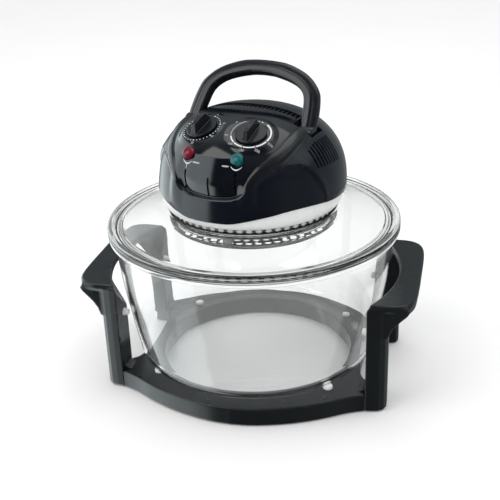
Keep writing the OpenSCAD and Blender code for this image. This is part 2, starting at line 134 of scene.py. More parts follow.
def box_mesh(name, lo, hi, turned=True):
    x0, y0, z0 = lo
    x1, y1, z1 = hi
    v = [(x0, y0, z0), (x1, y0, z0), (x1, y1, z0), (x0, y1, z0), (x0, y0, z1), (x1, y0, z1), (x1, y1, z1), (x0, y1, z1)]
    f = [(0, 3, 2, 1), (4, 5, 6, 7), (0, 1, 5, 4), (1, 2, 6, 5), (2, 3, 7, 6), (3, 0, 4, 7)]
    return new_object(name, v, f, turned)


def prism(name, outline, z0, z1, turned=True):
    """closed prism from an anticlockwise outline"""
    n = len(outline)
    area = sum(outline[i][0] * outline[(i + 1) % n][1] - outline[(i + 1) % n][0] * outline[i][1] for i in range(n))
    if area < 0:
        outline = outline[::-1]
    v = [(x, y, z0) for x, y in outline] + [(x, y, z1) for x, y in outline]
    f = [tuple(range(n - 1, -1, -1)), tuple(range(n, 2 * n))]
    f += [(i, (i + 1) % n, n + (i + 1) % n, n + i) for i in range(n)]
    ob = new_object(name, v, f, turned)
    bm = bmesh.new()
    bm.from_mesh(ob.data)
    bmesh.ops.triangulate(bm, faces=[x for x in bm.faces if len(x.verts) > 4])
    bm.to_mesh(ob.data)
    bm.free()
    return ob


def join_meshes(name, parts, smooth=35.0):
    me = bpy.data.meshes.new(name)
    bm = bmesh.new()
    for p in parts:
        bm.from_mesh(p.data)
        bpy.data.objects.remove(p)
    bm.to_mesh(me)
    bm.free()
    ob = bpy.data.objects.new(name, me)
    scene.collection.objects.link(ob)
    finish_mesh(ob, smooth)
    return ob


def catmull(points, n=10):
    """smooth open curve through the points"""
    p = np.asarray(points, float)
    p = np.vstack([2 * p[0] - p[1], p, 2 * p[-1] - p[-2]])
    out = []
    for i in range(1, len(p) - 2):
        for k in range(n):
            t = k / n
            out.append(0.5 * ((2 * p[i]) + (-p[i - 1] + p[i + 1]) * t + (2 * p[i - 1] - 5 * p[i] + 4 * p[i + 1] - p[i + 2]) * t ** 2
                              + (-p[i - 1] + 3 * p[i] - 3 * p[i + 1] + p[i + 2]) * t ** 3))
    out.append(p[-2])
    return np.array(out)


def revolve(name, profile, n=240, turned=False, smooth=35.0, closed=True):
    """profile: (r, z) points; closed loops back to its first point. Points on the axis are kept single."""
    pr = [tuple(map(float, p)) for p in profile]
    verts, rings = [], []
    ang = np.linspace(0, 2 * math.pi, n, endpoint=False)
    for r, z in pr:
        if r < 1e-6:
            rings.append([len(verts)])
            verts.append((0, 0, z))
        else:
            rings.append(list(range(len(verts), len(verts) + n)))
            verts.extend((r * math.cos(a), r * math.sin(a), z) for a in ang)
    faces = []
    m = len(rings)
    for i in range(m if closed else m - 1):
        a, b = rings[i], rings[(i + 1) % m]
        if len(a) == 1 and len(b) == 1:
            continue
        for k in range(n):
            k2 = (k + 1) % n
            if len(a) == 1:
                faces.append((a[0], b[k2], b[k]))
            elif len(b) == 1:
                faces.append((a[k], a[k2], b[0]))
            else:
                faces.append((a[k], a[k2], b[k2], b[k]))
    ob = new_object(name, verts, faces, turned, smooth)
    fix_normals(ob, smooth)
    return ob


def fix_normals(ob, smooth=35.0):
    bm = bmesh.new()
    bm.from_mesh(ob.data)
    bmesh.ops.remove_doubles(bm, verts=bm.verts, dist=1e-7)
    bmesh.ops.recalc_face_normals(bm, faces=bm.faces)
    bm.to_mesh(ob.data)
    bm.free()
    finish_mesh(ob, smooth)


def round_profile(pts, radii, seg=6):
    """rounds the corners of a closed (r, z) loop"""
    out = []
    n = len(pts)
    for i in range(n):
        p = np.array(pts[i], float)
        r = radii[i]
        a = np.array(pts[i - 1], float) - p
        b = np.array(pts[(i + 1) % n], float) - p
        la, lb = np.linalg.norm(a), np.linalg.norm(b)
        if r <= 0 or la < 1e-6 or lb < 1e-6:
            out.append(tuple(p))
            continue
        a, b = a / la, b / lb
        cosv = float(np.clip(a @ b, -1, 1))
        half = math.acos(cosv) / 2
        if half > math.radians(88) or half < math.radians(4):
            out.append(tuple(p))
            continue
        d = min(r / math.tan(half), 0.49 * la, 0.49 * lb)
        p0, p1 = p + a * d, p + b * d
        for k in range(seg + 1):
            t = k / seg
            out.append(tuple((1 - t) ** 2 * p0 + 2 * t * (1 - t) * p + t ** 2 * p1))
    return out


# signed distances in millimetres, negative inside


def sd_poly(x, y, poly):
    p = np.asarray(poly, float)
    x, y = np.broadcast_arrays(x, y)
    d = np.full(x.shape, 1e18)
    inside = np.zeros(x.shape, bool)
    for i in range(len(p)):
        a, b = p[i - 1], p[i]
        ex, ey = b[0] - a[0], b[1] - a[1]
        wx, wy = x - a[0], y - a[1]
        t = np.clip((wx * ex + wy * ey) / max(ex * ex + ey * ey, 1e-12), 0, 1)
        dx, dy = wx - ex * t, wy - ey * t
        d = np.minimum(d, dx * dx + dy * dy)
        c = ((a[1] <= y) & (b[1] > y)) | ((b[1] <= y) & (a[1] > y))
        if abs(ey) > 1e-12:
            inside ^= c & (x < a[0] + (y - a[1]) * ex / ey)
    d = np.sqrt(d)
    return np.where(inside, -d, d)


def extrude_sd(d2, z, z0, z1, r):
    h = np.abs(z - (z0 + z1) / 2) - (z1 - z0) / 2 + r
    d = d2 + r
    return np.minimum(np.maximum(d, h), 0) + np.sqrt(np.maximum(d, 0) ** 2 + np.maximum(h, 0) ** 2) - r


def smin(a, b, k):
    h = np.clip(0.5 + 0.5 * (b - a) / k, 0, 1)
    return b * (1 - h) + a * h - k * h * (1 - h)


def smax(a, b, k):
    return -smin(-a, -b, k)


def sdf_object(name, f, lo, hi, h, turned=False, smooth=0.0, relax=2, local=None):
    """the zero surface of f over a box, as one closed mesh; local is a matrix that places it"""
    xs = [np.arange(lo[i], hi[i] + h, h) for i in range(3)]
    X, Y, Z = np.meshgrid(*xs, indexing="ij", sparse=True)
    d = np.clip(np.broadcast_to(f(X, Y, Z), [len(v) for v in xs]), -6 * h, 6 * h).astype(np.float32)
    g = openvdb.FloatGrid(6 * h)
    g.copyFromArray(d)
    pts, tris, quads = g.convertToPolygons(isovalue=0.0, adaptivity=0.0)
    pts = np.asarray(pts, float) * h + np.array(lo)
    e_ = 0.1 * h
    for k_ in range(2):
        v0 = f(pts[:, 0], pts[:, 1], pts[:, 2])
        if k_ == 0:
            gr = np.stack([f(*(pts + e_ * np.eye(3)[k]).T) - v0 for k in range(3)], 1) / e_
        step = gr * (v0 / np.maximum((gr ** 2).sum(1), 0.2))[:, None]
        ln_ = np.linalg.norm(step, axis=1)
        pts = pts - step * np.minimum(1, 0.45 * h / np.maximum(ln_, 1e-9))[:, None]
    if local is not None:
        m = np.array(local, float)
        pts = pts @ m[:3, :3].T + m[:3, 3]
    if turned:
        pts = rot_z(pts, TURN)
    me = bpy.data.meshes.new(name)
    me.from_pydata((pts * MM).tolist(), [], [list(map(int, q)) for q in quads] + [list(map(int, t)) for t in tris])
    me.validate()
    ob = bpy.data.objects.new(name, me)
    scene.collection.objects.link(ob)
    if relax:
        m = ob.modifiers.new("relax", "SMOOTH")
        m.factor = 0.25
        m.iterations = relax
        bake(ob, smooth)
    fix_normals(ob, smooth)
    return ob


# ------------------------------------------------------------------ materials


def node_material(name):
    mat = bpy.data.materials.new(name)
    mat.use_nodes = True
    nt = mat.node_tree
    nt.nodes.clear()
    out = nt.nodes.new("ShaderNodeOutputMaterial")
    b = nt.nodes.new("ShaderNodeBsdfPrincipled")
    nt.links.new(b.outputs[0], out.inputs[0])
    return mat, nt, b


def coords(nt, scale=1.0):
    tc = nt.nodes.new("ShaderNodeTexCoord")
    mp = nt.nodes.new("ShaderNodeMapping")
    mp.inputs["Scale"].default_value = (scale, scale, scale)
    nt.links.new(tc.outputs["Object"], mp.inputs["Vector"])
    return mp.outputs["Vector"]


def noise(nt, vec, scale, detail=4.0, rough=0.55):
    n = nt.nodes.new("ShaderNodeTexNoise")
    n.inputs["Scale"].default_value = scale
    n.inputs["Detail"].default_value = detail
    n.inputs["Roughness"].default_value = rough
    nt.links.new(vec, n.inputs["Vector"])
    return n.outputs["Fac"]


def ramp(nt, fac, stops):
    r = nt.nodes.new("ShaderNodeValToRGB")
    e = r.color_ramp.elements
    while len(e) > 1:
        e.remove(e[-1])
    e[0].position, e[0].color = stops[0][0], stops[0][1]
    for p, c in stops[1:]:
        x = e.new(p)
        x.color = c
    nt.links.new(fac, r.inputs["Fac"])
    return r.outputs["Color"]


def g(v, a=1.0):
    return (v, v, v, a)


def tone(c, k):
    return (c[0] * k, c[1] * k, c[2] * k, 1.0)


def bump(nt, b, height, strength, distance, prev=None):
    n = nt.nodes.new("ShaderNodeBump")
    n.inputs["Strength"].default_value = strength
    n.inputs["Distance"].default_value = distance
    nt.links.new(height, n.inputs["Height"])
    if prev is not None:
        nt.links.new(prev, n.inputs["Normal"])
    nt.links.new(n.outputs["Normal"], b.inputs["Normal"])
    return n.outputs["Normal"]


def plastic(name, color, rough=(0.12, 0.2), grain=0.0, grain_scale=900.0, coat=0.0, spec=0.5, vary=0.12, edge=0.0):
    """moulded plastic: slow tone changes, smudges in the gloss, a fine grain and rubbed edges"""
    mat, nt, b = node_material(name)
    v = coords(nt)
    slow = noise(nt, v, 9.0, 3.0)
    base = ramp(nt, slow, [(0.3, tone(color, 1 - vary)), (0.7, tone(color, 1 + vary))])
    if edge > 0:
        geo = nt.nodes.new("ShaderNodeNewGeometry")
        worn = ramp(nt, geo.outputs["Pointiness"], [(0.5, g(0)), (0.56, g(1))])
        patch = ramp(nt, noise(nt, v, 160.0, 5.0, 0.7), [(0.45, g(0)), (0.62, g(1))])
        mul = nt.nodes.new("ShaderNodeMix")
        mul.data_type = "RGBA"
        mul.blend_type = "MULTIPLY"
        mul.inputs["Factor"].default_value = 1.0
        nt.links.new(worn, mul.inputs["A"])
        nt.links.new(patch, mul.inputs["B"])
        mix = nt.nodes.new("ShaderNodeMix")
        mix.data_type = "RGBA"
        nt.links.new(mul.outputs["Result"], mix.inputs["Factor"])
        nt.links.new(base, mix.inputs["A"])
        mix.inputs["B"].default_value = tone([c * 1.6 + 0.01 for c in color], 1 + edge)
        base = mix.outputs["Result"]
    nt.links.new(base, b.inputs["Base Color"])
    smudge = noise(nt, v, 38.0, 6.0, 0.62)
    nt.links.new(ramp(nt, smudge, [(0.32, g(rough[0])), (0.72, g(rough[1]))]), b.inputs["Roughness"])
    b.inputs["Specular IOR Level"].default_value = spec
    b.inputs["Coat Weight"].default_value = coat
    b.inputs["Coat Roughness"].default_value = 0.06
    n1 = bump(nt, b, noise(nt, v, 60.0, 2.0), 0.05, 0.0004)
    if grain > 0:
        bump(nt, b, noise(nt, v, grain_scale, 3.0, 0.6), grain, 0.00025, n1)
    return mat


def metal(name, color, rough=(0.18, 0.3), brushed=None, scale=1.0, bumpy=0.12):
    mat, nt, b = node_material(name)
    tc = nt.nodes.new("ShaderNodeTexCoord")
    mp = nt.nodes.new("ShaderNodeMapping")
    mp.inputs["Scale"].default_value = brushed or (1, 1, 1)
    nt.links.new(tc.outputs["Object"], mp.inputs["Vector"])
    v = mp.outputs["Vector"]
    n1 = noise(nt, v, 220.0 * scale, 5.0, 0.6)
    slow = noise(nt, coords(nt), 24.0, 3.0)
    nt.links.new(ramp(nt, slow, [(0.3, tone(color, 0.86)), (0.7, tone(color, 1.06))]), b.inputs["Base Color"])
    nt.links.new(ramp(nt, n1, [(0.3, g(rough[0])), (0.7, g(rough[1]))]), b.inputs["Roughness"])
    b.inputs["Metallic"].default_value = 1.0
    bump(nt, b, n1, bumpy, 0.0002)
    return mat


def glass(name, tint, rough=0.0, dusty=0.0):
    mat, nt, b = node_material(name)
    v = coords(nt)
    n = noise(nt, v, 14.0, 3.0)
    nt.links.new(ramp(nt, n, [(0.3, tone(tint, 0.985)), (0.7, tone(tint, 1.0))]), b.inputs["Base Color"])
    b.inputs["Transmission Weight"].default_value = 1.0
    b.inputs["IOR"].default_value = 1.47
    spots = noise(nt, v, 90.0, 5.0, 0.65)
    nt.links.new(ramp(nt, spots, [(0.45, g(rough)), (0.85, g(rough + dusty))]), b.inputs["Roughness"])
    bump(nt, b, noise(nt, v, 7.0, 2.0), 0.035, 0.0012)
    return mat


def lens(name, color):
    mat, nt, b = node_material(name)
    v = coords(nt)
    cells = nt.nodes.new("ShaderNodeTexVoronoi")
    cells.inputs["Scale"].default_value = 700.0
    nt.links.new(v, cells.inputs["Vector"])
    nt.links.new(ramp(nt, cells.outputs["Distance"], [(0.0, tone(color, 1.25)), (0.8, tone(color, 0.7))]), b.inputs["Base Color"])
    nt.links.new(ramp(nt, noise(nt, v, 120.0), [(0.3, g(0.14)), (0.7, g(0.2))]), b.inputs["Roughness"])
    b.inputs["Transmission Weight"].default_value = 0.12
    b.inputs["IOR"].default_value = 1.46
    b.inputs["Specular IOR Level"].default_value = 0.4
    bump(nt, b, cells.outputs["Distance"], 0.06, 0.0002)
    return mat


BLACK = (0.004, 0.0054, 0.0098)
M = {
    "housing": plastic("housing_gloss", BLACK, (0.12, 0.2), 0.04, 1400.0, 0.0, 0.5, 0.1, 0.12),
    "hood": plastic("hood_gloss", (0.0034, 0.0043, 0.0072), (0.08, 0.15), 0.0, 900.0, 0.2, 0.5, 0.1, 0.1),
    "border": plastic("border_satin", (0.0056, 0.0064, 0.0085), (0.16, 0.26), 0.06, 1300.0, 0.0, 0.55, 0.1, 0.12),
    "handle": plastic("handle_satin", (0.0036, 0.0046, 0.0078), (0.18, 0.28), 0.08, 1200.0, 0.0, 0.5, 0.1, 0.12),
    "knob": plastic("knob_satin", (0.0052, 0.006, 0.0085), (0.2, 0.32), 0.06, 1500.0, 0.0, 0.4, 0.1, 0.15),
    "stand": plastic("stand_satin", (0.0068, 0.0088, 0.0106), (0.26, 0.4), 0.2, 1100.0, 0.0, 0.5, 0.12, 0.12),
    "inner": plastic("inner_black", (0.012, 0.012, 0.013), (0.4, 0.55), 0.3, 800.0),
    "collar": plastic("collar_white", (0.86, 0.87, 0.865), (0.22, 0.34), 0.05, 900.0, 0.0, 0.5, 0.03),
    "milky": plastic("bumper_milky", (0.78, 0.8, 0.8), (0.3, 0.45), 0.08, 900.0, 0.0, 0.5, 0.05),
    "rubber": plastic("foot_rubber", (0.02, 0.02, 0.021), (0.6, 0.8), 0.4, 700.0),
    "case": plastic("control_case", (0.62, 0.61, 0.55), (0.4, 0.5), 0.15, 800.0),
    "plunger": plastic("plunger_red", (0.5, 0.05, 0.03), (0.3, 0.4), 0.1, 800.0),
    "fanp": plastic("fan_plastic", (0.03, 0.03, 0.034), (0.35, 0.5), 0.2, 800.0),
    "mica": plastic("mica_board", (0.5, 0.45, 0.33), (0.35, 0.6), 0.4, 500.0, 0.0, 0.5, 0.25),
    "ceramic": plastic("ceramic_white", (0.72, 0.7, 0.65), (0.45, 0.6), 0.3, 600.0),
    "print": plastic("print_white", (0.72, 0.74, 0.76), (0.4, 0.55), 0.05, 900.0, 0.0, 0.3, 0.06),
    "print_dim": plastic("print_grey", (0.42, 0.43, 0.45), (0.4, 0.55), 0.05, 900.0, 0.0, 0.3, 0.06),
    "steel": metal("plain_steel", (0.62, 0.62, 0.63), (0.22, 0.36)),
    "screw": metal("screw_steel", (0.66, 0.66, 0.67), (0.2, 0.34)),
    # guard metal: its dark base colour is a painted dark reflection, standing in for the dark inside of the head that
    # the real metal mirrors
    "guard_metal_dark_painted_reflection": metal("guard_chrome", (0.16, 0.175, 0.17), (0.12, 0.26), None, 0.5, 0.05),
    "alu": metal("reflector_alu", (0.78, 0.79, 0.8), (0.14, 0.24), (1, 1, 6), 0.6, 0.06),
    "iron": metal("motor_iron", (0.3, 0.3, 0.31), (0.4, 0.55), (1, 1, 12)),
    "copper": metal("motor_copper", (0.72, 0.3, 0.12), (0.25, 0.4), (1, 10, 1)),
    "bronze": metal("bush_bronze", (0.6, 0.42, 0.2), (0.3, 0.42)),
    "bowl": glass("bowl_glass", (0.975, 0.985, 0.983), 0.0, 0.012),
    "lid": glass("lid_glass", (0.98, 0.988, 0.986), 0.0, 0.01),
    "quartz": glass("quartz_tube", (0.96, 0.93, 0.86), 0.04, 0.05),
    "neon": glass("neon_glass", (0.95, 0.6, 0.4), 0.05, 0.05),
    "red": lens("lens_red", (0.17, 0.006, 0.022)),
    "green": lens("lens_green", (0.005, 0.115, 0.12)),
}
CAD_LOOK = {
    "stand_screws": "screw", "stand_feet": "rubber", "lid_gasket": "milky", "collar_ring": "collar", "clamp_ring": "steel",
    "clamp_screws": "screw", "housing_frame": "inner", "housing_screws": "screw", "neon_lamps": "neon", "timer_body": "case",
    "thermostat_body": "case", "timer_shaft": "steel", "thermostat_shaft": "steel", "handle_pins": "steel", "switch_body": "inner",
    "switch_plunger": "plunger", "reflector_dish": "alu", "guard_dish": "guard_metal_dark_painted_reflection", "guard_brackets": "guard_metal_dark_painted_reflection", "halogen_tube": "quartz",
    "tube_holders": "ceramic", "hot_air_fan": "alu", "fan_shaft": "steel", "motor_rotor": "iron", "motor_stator": "iron",
    "motor_coil": "copper", "motor_bracket": "steel", "shaft_bushes": "bronze", "cooling_fan": "fanp", "heat_baffle": "mica",
    "baffle_spacers": "steel", "thermal_cutout": "steel", "terminal_block": "case", "cord_gland": "inner",
    "base_ring": "stand", "handle_frame_left": "stand", "handle_frame_right": "stand", "base_bumpers": "milky",
    "post_bumpers": "milky", "glass_bowl": "bowl", "glass_lid": "lid", "lower_housing": "housing", "upper_housing": "housing",
    "hood_border": "border", "control_hood": "hood", "channel_strip": "inner", "power_lens": "red", "heat_lens": "green",
    "timer_knob": "knob", "thermostat_knob": "knob", "carry_handle": "handle",
}
for node, look in CAD_LOOK.items():
    me = NODES[node].data
    me.materials.clear()
    me.materials.append(M[look])


def piece(ob, look, body, slot, *nodes):
    ob.data.materials.clear()
    ob.data.materials.append(M[look])
    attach(ob, body)
    if nodes:
        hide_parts(*nodes)
    return ob


# ------------------------------------------------------------------ glass

GZ = 26.0


def offset_line(line, dist):
    """the curve moved sideways by dist, to the right of its direction"""
    line = np.asarray(line, float)
    t = np.gradient(line, axis=0)
    t /= np.linalg.norm(t, axis=1)[:, None]
    return line + dist * np.column_stack([t[:, 1], -t[:, 0]])


wall = np.vstack([[(r_, GZ) for r_ in np.linspace(30, 118, 23)],
                  [(120 + 20 * math.sin(math.radians(a_)), GZ + 20 - 20 * math.cos(math.radians(a_))) for a_ in range(3, 88, 5)],
                  catmull([(140.15, 47), (144, 67), (148, 92), (152.5, 119), (156, 150), (157.8, 172), (158.3, 178)], 12)])
wall_in = offset_line(wall, -4.9)
bowl_out = [(0, GZ)] + [tuple(p) for p in wall]
bowl_rim = round_profile([(158.6, 178.6), (165, 178.9), (165, 185), (153, 185), (153.2, 178)], [1.2, 2.6, 2.2, 1.2, 0], 6)
bowl_in = [tuple(p) for p in wall_in[::-1] if p[1] < 177] + [(0, GZ + 4.9)]
bowl = revolve("bowl_glass_body", bowl_out + bowl_rim + bowl_in, 300, False, 50.0)
piece(bowl, "bowl", "bowl", "bowl_glass", "glass_bowl")

LZ = 185.3
slope = catmull([(97.5, 206), (101, 205.75), (105, 204.9), (110, 203.4), (122, 199.0), (136, 194.3), (147, 190.9), (155, 189.2)], 12)
under = offset_line(slope, 4.5)
under = [tuple(p) for p in under[::-1] if 98 < p[0] < 146]
lid_pts = [(94, 205.6), (94.4, 206)] + [tuple(p) for p in slope] + round_profile(
    [(156.5, 189.1), (159.6, 190.9), (165, 190.9), (165, LZ), (152, LZ), (150.8, LZ - 3), (147.6, LZ - 3), (146.6, LZ + 1)],
    [0.8, 1.2, 2.4, 2.2, 0.6, 0.8, 0.8, 0.4], 6) + under + [(94.4, 201.1), (94, 201.5)]
lid = revolve("lid_glass_body", lid_pts, 300, False, 50.0)
piece(lid, "lid", "lid", "lid_glass", "glass_lid")

collar = revolve("collar_body", round_profile(
    [(88.5, 201.2), (92.7, 201.2), (92.7, 211.6), (95.6, 211.6), (98.6, 213.6), (100.3, 216.6), (101.2, 219.6), (101.9, 224), (102, 236.8),
     (99, 236.8), (98.4, 226), (84, 226), (84, 222.5), (88.5, 222.5)], [0.3, 0.3, 0.2, 1.0, 2, 2, 2, 3, 0.3, 0.3, 0.8, 0.3, 0.3, 0.3], 5), 300, False, 40)
piece(collar, "collar", "lid", "collar_white", "collar_ring")
gasket = revolve("gasket_body", round_profile([(94.0, 206.05), (95.3, 206.05), (95.3, 207.45), (94.0, 207.45)], [0.3] * 4, 3), 200, False, 40)
piece(gasket, "rubber", "lid", "gasket_silicone", "lid_gasket")
clamp = revolve("clamp_ring_body", round_profile([(86.6, 199.4), (92.8, 199.4), (92.8, 200.9), (86.6, 200.9)], [0.3, 0.7, 0.3, 0.3], 4), 200, False, 40)
piece(clamp, "steel", "lid", "clamp_steel", "clamp_ring")

guard = revolve("guard_body", [(0, 184.35)] + round_profile(
    [(83, 184.35), (90.0, 186.0), (92.5, 188.2), (92.5, 191.6), (91.2, 191.6), (91.5, 188.8), (89.6, 187.0), (82.8, 185.3)],
    [3, 2, 1.2, 0.6, 0.5, 1, 2, 3], 5) + [(0, 185.3)], 300, True, 40)
drills = []
for k_ in range(1, 8):
    r_ = 7.4 + k_ * 10.4
    n_ = int(2 * math.pi * r_ / 10.1)
    for i_ in range(n_):
        a_ = 2 * math.pi * i_ / n_
        ca_, sa_ = math.cos(a_), math.sin(a_)
        oval = [(4.1 * math.cos(t_ * math.pi / 10), 3.6 * math.sin(t_ * math.pi / 10)) for t_ in range(20)]
        drills.append(prism("d", [((r_ + u_) * ca_ - w_ * sa_, (r_ + u_) * sa_ + w_ * ca_) for u_, w_ in oval], 183, 188.5))
guard = cut(guard, join_meshes("drills", drills), "DIFFERENCE")
skirt_ = revolve("skirt", round_profile([(93.2, 199.6), (93.8, 199.6), (93.8, 211.5), (93.2, 211.5)], [0.25] * 4, 3), 300, True, 40)
drills = []
for i_ in range(116):
    a_ = 2 * math.pi * i_ / 116 + TURN
    zr_ = 209.1 if i_ % 2 else 203.9
    c_ = Vector((math.cos(a_), math.sin(a_), 0))
    t_ = Vector((-math.sin(a_), math.cos(a_), 0))
    ring_ = [t_ * (3.5 * math.cos(k * math.pi / 10)) + Vector((0, 0, zr_ + 1.8 * math.sin(k * math.pi / 10))) for k in range(20)]
    v_ = [tuple(c_ * rr_ + q_) for rr_ in (91.5, 95.5) for q_ in ring_]
    f_ = [tuple(range(19, -1, -1)), tuple(range(20, 40))] + [(k, (k + 1) % 20, 20 + (k + 1) % 20, 20 + k) for k in range(20)]
    d_ = new_object("d", v_, f_)
    fix_normals(d_)
    drills.append(d_)
skirt_ = cut(skirt_, join_meshes("drills", drills), "DIFFERENCE")
guard = join_meshes("guard_body", [guard, skirt_], 40)
# the guard's dark metal colour is a painted reflection of the dark inside of the head
piece(guard, "guard_metal_dark_painted_reflection", "lid", "guard_chrome", "guard_dish")

# ------------------------------------------------------------------ stand

quarter = [(0, -141), (20, -139.6), (40, -135.5), (60, -129.5), (80, -121.5), (100, -111), (116, -101), (128, -94.5),
           (138, -90.5), (148, -89), (155, -87.5), (160, -83.5), (162.5, -78), (162.5, -68), (160, -64), (154, -62), (146, -61),
           (139, -58.5), (134, -54), (130.5, -47), (128.5, -38), (127, -25), (126, -12), (126, 0)]
q = catmull(quarter, 4)
outline = np.vstack([q, q[::-1][1:] * [1, -1], q[1:] * [-1, -1], (q[::-1] * [-1, 1])[1:-1]])


def base_sdf(X, Y, Z):
    d2 = sd_poly(X, Y, outline)
    hole = 112.0 - np.sqrt(X * X + Y * Y)
    d2 = np.maximum(d2, hole)
    d2 = np.maximum(d2, np.abs(X) - 139.8)
    d = extrude_sd(d2, Z, 1.0, 22.0, 1.7)
    r = np.sqrt(X * X + Y * Y)
    channel = np.maximum(np.maximum(115.5 - r, r - 123.0), Z - 18.0)
    return np.maximum(d, -channel)


base = sdf_object("base_ring_body", base_sdf, (-142, -143, -1), (142, 143, 24), 0.8, relax=1)
piece(base, "stand", "stand", "stand_plastic", "base_ring")

post = [(139.9, -90.1), (148, -89), (155, -87.5), (160, -83.5), (162.5, -78), (162.5, -68), (160, -64), (154, -62), (146, -61), (139.9, -58.9)]
grip_outer = catmull([(150, -87.0), (166, -87.4), (178, -83), (186, -74), (189.7, -58), (190.7, -30), (190.7, 0)], 5)
grip_poly = np.vstack([grip_outer, (grip_outer[::-1] * [1, -1])[1:], [(138, 87.4), (138, -87.4)]])
lip_o = catmull([(168, -83), (177, -80), (184, -72), (188.5, -57), (189.5, -30), (189.5, 0)], 4)
lip_i = catmull([(160, -78), (174, -76), (180, -68), (183.5, -55), (184.5, -30), (184.5, 0)], 4)
lip_poly = np.vstack([lip_o, (lip_o[::-1] * [1, -1])[1:], lip_i[:1] * [1, -1], (lip_i * [1, -1])[1:], (lip_i[::-1])[1:]])
flare = [(150, 129), (181, 129), (184.5, 124), (182, 119.5), (177, 114.5), (170, 107), (165.5, 100), (162.4, 91), (150, 91)]


def frame_sdf(X, Y, Z):
    y = -np.abs(Y)
    r = np.sqrt(X * X + Y * Y)
    d_post = extrude_sd(sd_poly(X, y, post), Z, 1.0, 128.0, 2.2)
    d_grip = extrude_sd(sd_poly(X, Y, grip_poly), Z, 124.6, 132.0, 2.6)
    d_lip = extrude_sd(sd_poly(X, Y, lip_poly), Z, 117.0, 130.0, 1.6)
    d_fl = extrude_sd(sd_poly(X, Z, flare), y, -85.5, -64.0, 2.6)
    d = smin(smin(d_post, d_fl, 3.0), smin(d_grip, d_lip, 2.0), 4.0)
    # small gusset where the post meets the base
    gx, gz = X - 130.0, Z - 32.0
    d_gus = np.maximum(np.maximum(9.6 - np.sqrt(gx * gx + gz * gz), X - 141.0), np.maximum(np.maximum(130.0 - X, 22.2 - Z), Z - 32.0))
    d_gus = np.maximum(d_gus, np.maximum(-84.0 - y, y + 66.0))
    d = smin(d, d_gus, 1.0)
    # room for the bowl
    cone = (r - (152.0 + (np.clip(Z, 96, 128) - 96) / 32 * 14.5)) * 0.91
    room = np.maximum(cone, 96.0 - Z)
    return smax(d, -room, 2.0)


for side, nm, node in ((1, "right", "handle_frame_right"), (-1, "left", "handle_frame_left")):
    fr = sdf_object("stand_handle_" + nm, frame_sdf, (127, -92, -1), (194, 92, 135), 0.8, relax=1)
    if side < 0:
        fr.data.transform(Matrix.Scale(-1, 4, (1, 0, 0)))
        fix_normals(fr, 0)
    piece(fr, "stand", "stand", "stand_plastic", node)


def lathe_at(name, profile, place, n=48, smooth=40.0):
    """a small turned piece, placed by a 4x4 matrix in millimetres"""
    ob = revolve(name, profile, n, False, smooth)
    m = place.copy()
    m.translation = m.translation * MM
    ob.data.transform(m)
    ob.data.update()
    return ob


parts = []
for sx in (1, -1):
    for sy in (1, -1):
        prof = round_profile([(0, -1.5), (3.4, -1.5), (3.4, 0), (5.5, 0), (5.2, 3.7), (0, 3.7)], [0, 0, 0, 0.4, 1.6, 0])
        parts.append(lathe_at("b", prof, Matrix.Translation((sx * 98, sy * 82, 22))))
piece(join_meshes("base_bumper_set", parts, 45), "milky", "stand", "bumper_white", "base_bumpers")
parts = []
for sx in (1, -1):
    for sy in (1, -1):
        prof = round_profile([(0, -6.4), (3.6, -6.4), (4.5, 0.0), (2.4, 0.0), (2.4, 2.8), (0, 2.8)], [0, 1.8, 0.3, 0, 0, 0])
        m = Matrix.Translation((sx * 140, sy * 70, 90)) @ Matrix.Rotation(math.radians(90 * sx), 4, "Y")
        parts.append(lathe_at("p", prof, m))
piece(join_meshes("post_bumper_set", parts, 45), "milky", "stand", "bumper_white", "post_bumpers")

# ------------------------------------------------------------------ head shells

SIDE_Z, TOP_Z, HEAD_R, SUP = 232.0, 316.0, 105.0, 2.45


def dome_r(z):
    t = np.clip((np.asarray(z, float) - SIDE_Z) / (TOP_Z - SIDE_Z), 0, 1)
    return HEAD_R * (1 - t ** SUP) ** (1 / SUP)


def dome_z(r):
    return SIDE_Z + (TOP_Z - SIDE_Z) * (1 - np.clip(np.asarray(r, float) / HEAD_R, 0, 1) ** SUP) ** (1 / SUP)


def lower_edge(a):
    return np.interp(a, [0, 13, 17, 21, 26, 38, 45, 50, 56, 63, 71, 79, 90, 100, 180],
                     [221, 221.1, 222, 223.7, 225.7, 229.3, 231.4, 232.3, 232.7, 232.5, 231.4, 230, 228.8, 228, 228])


def ledge(a):
    return 245.6 + 1.6 * (np.minimum(a, 16) / 16) ** 2 + 10.5 * np.clip((a - 14) / 10.5, 0, 1) ** 1.7


def crease(a):
    return 261.0 + 4.6 * sm((a - 7) / 11)


ARCH_A = [24, 26, 28.6, 33, 38, 44.6, 51.4, 58.3, 63, 67.3, 70.5, 73.7, 75.6, 76.4]
ARCH_Z = [257.5, 261.5, 265, 270.5, 274, 277, 278, 277, 273, 266, 258, 249, 238, 221]
arch_line = catmull(np.column_stack([np.array(ARCH_A) * 1.76, ARCH_Z]), 8)


def arch_top(a):
    return np.interp(a * 1.76, arch_line[:, 0], arch_line[:, 1])


def split_top(a):
    """height of the joint between the lower and the upper shell"""
    z = np.where(a < 24, ledge(a) + 0.55, np.where(a < 76.2, np.maximum(arch_top(a), 236.0), 236.0))
    return z


ridge_pts = [(70, -12), (69.4, -22), (69, -32), (66, -54), (59.8, -69.5), (52.5, -80), (45.6, -88.6), (42.3, -92.4), (39.5, -95.4)]
ridge_w = [6.9, 6.9, 6.9, 6.8, 6.2, 5.2, 3.7, 2.6, 1.4]
ridge_h = [2.2, 2.4, 2.5, 2.5, 2.3, 1.9, 1.3, 0.8, 0.2]
rc = catmull(np.column_stack([np.array(ridge_pts), ridge_w, ridge_h]), 12)
rc_xyz = np.column_stack([rc[:, 0], rc[:, 1], dome_z(np.hypot(rc[:, 0], rc[:, 1]))])

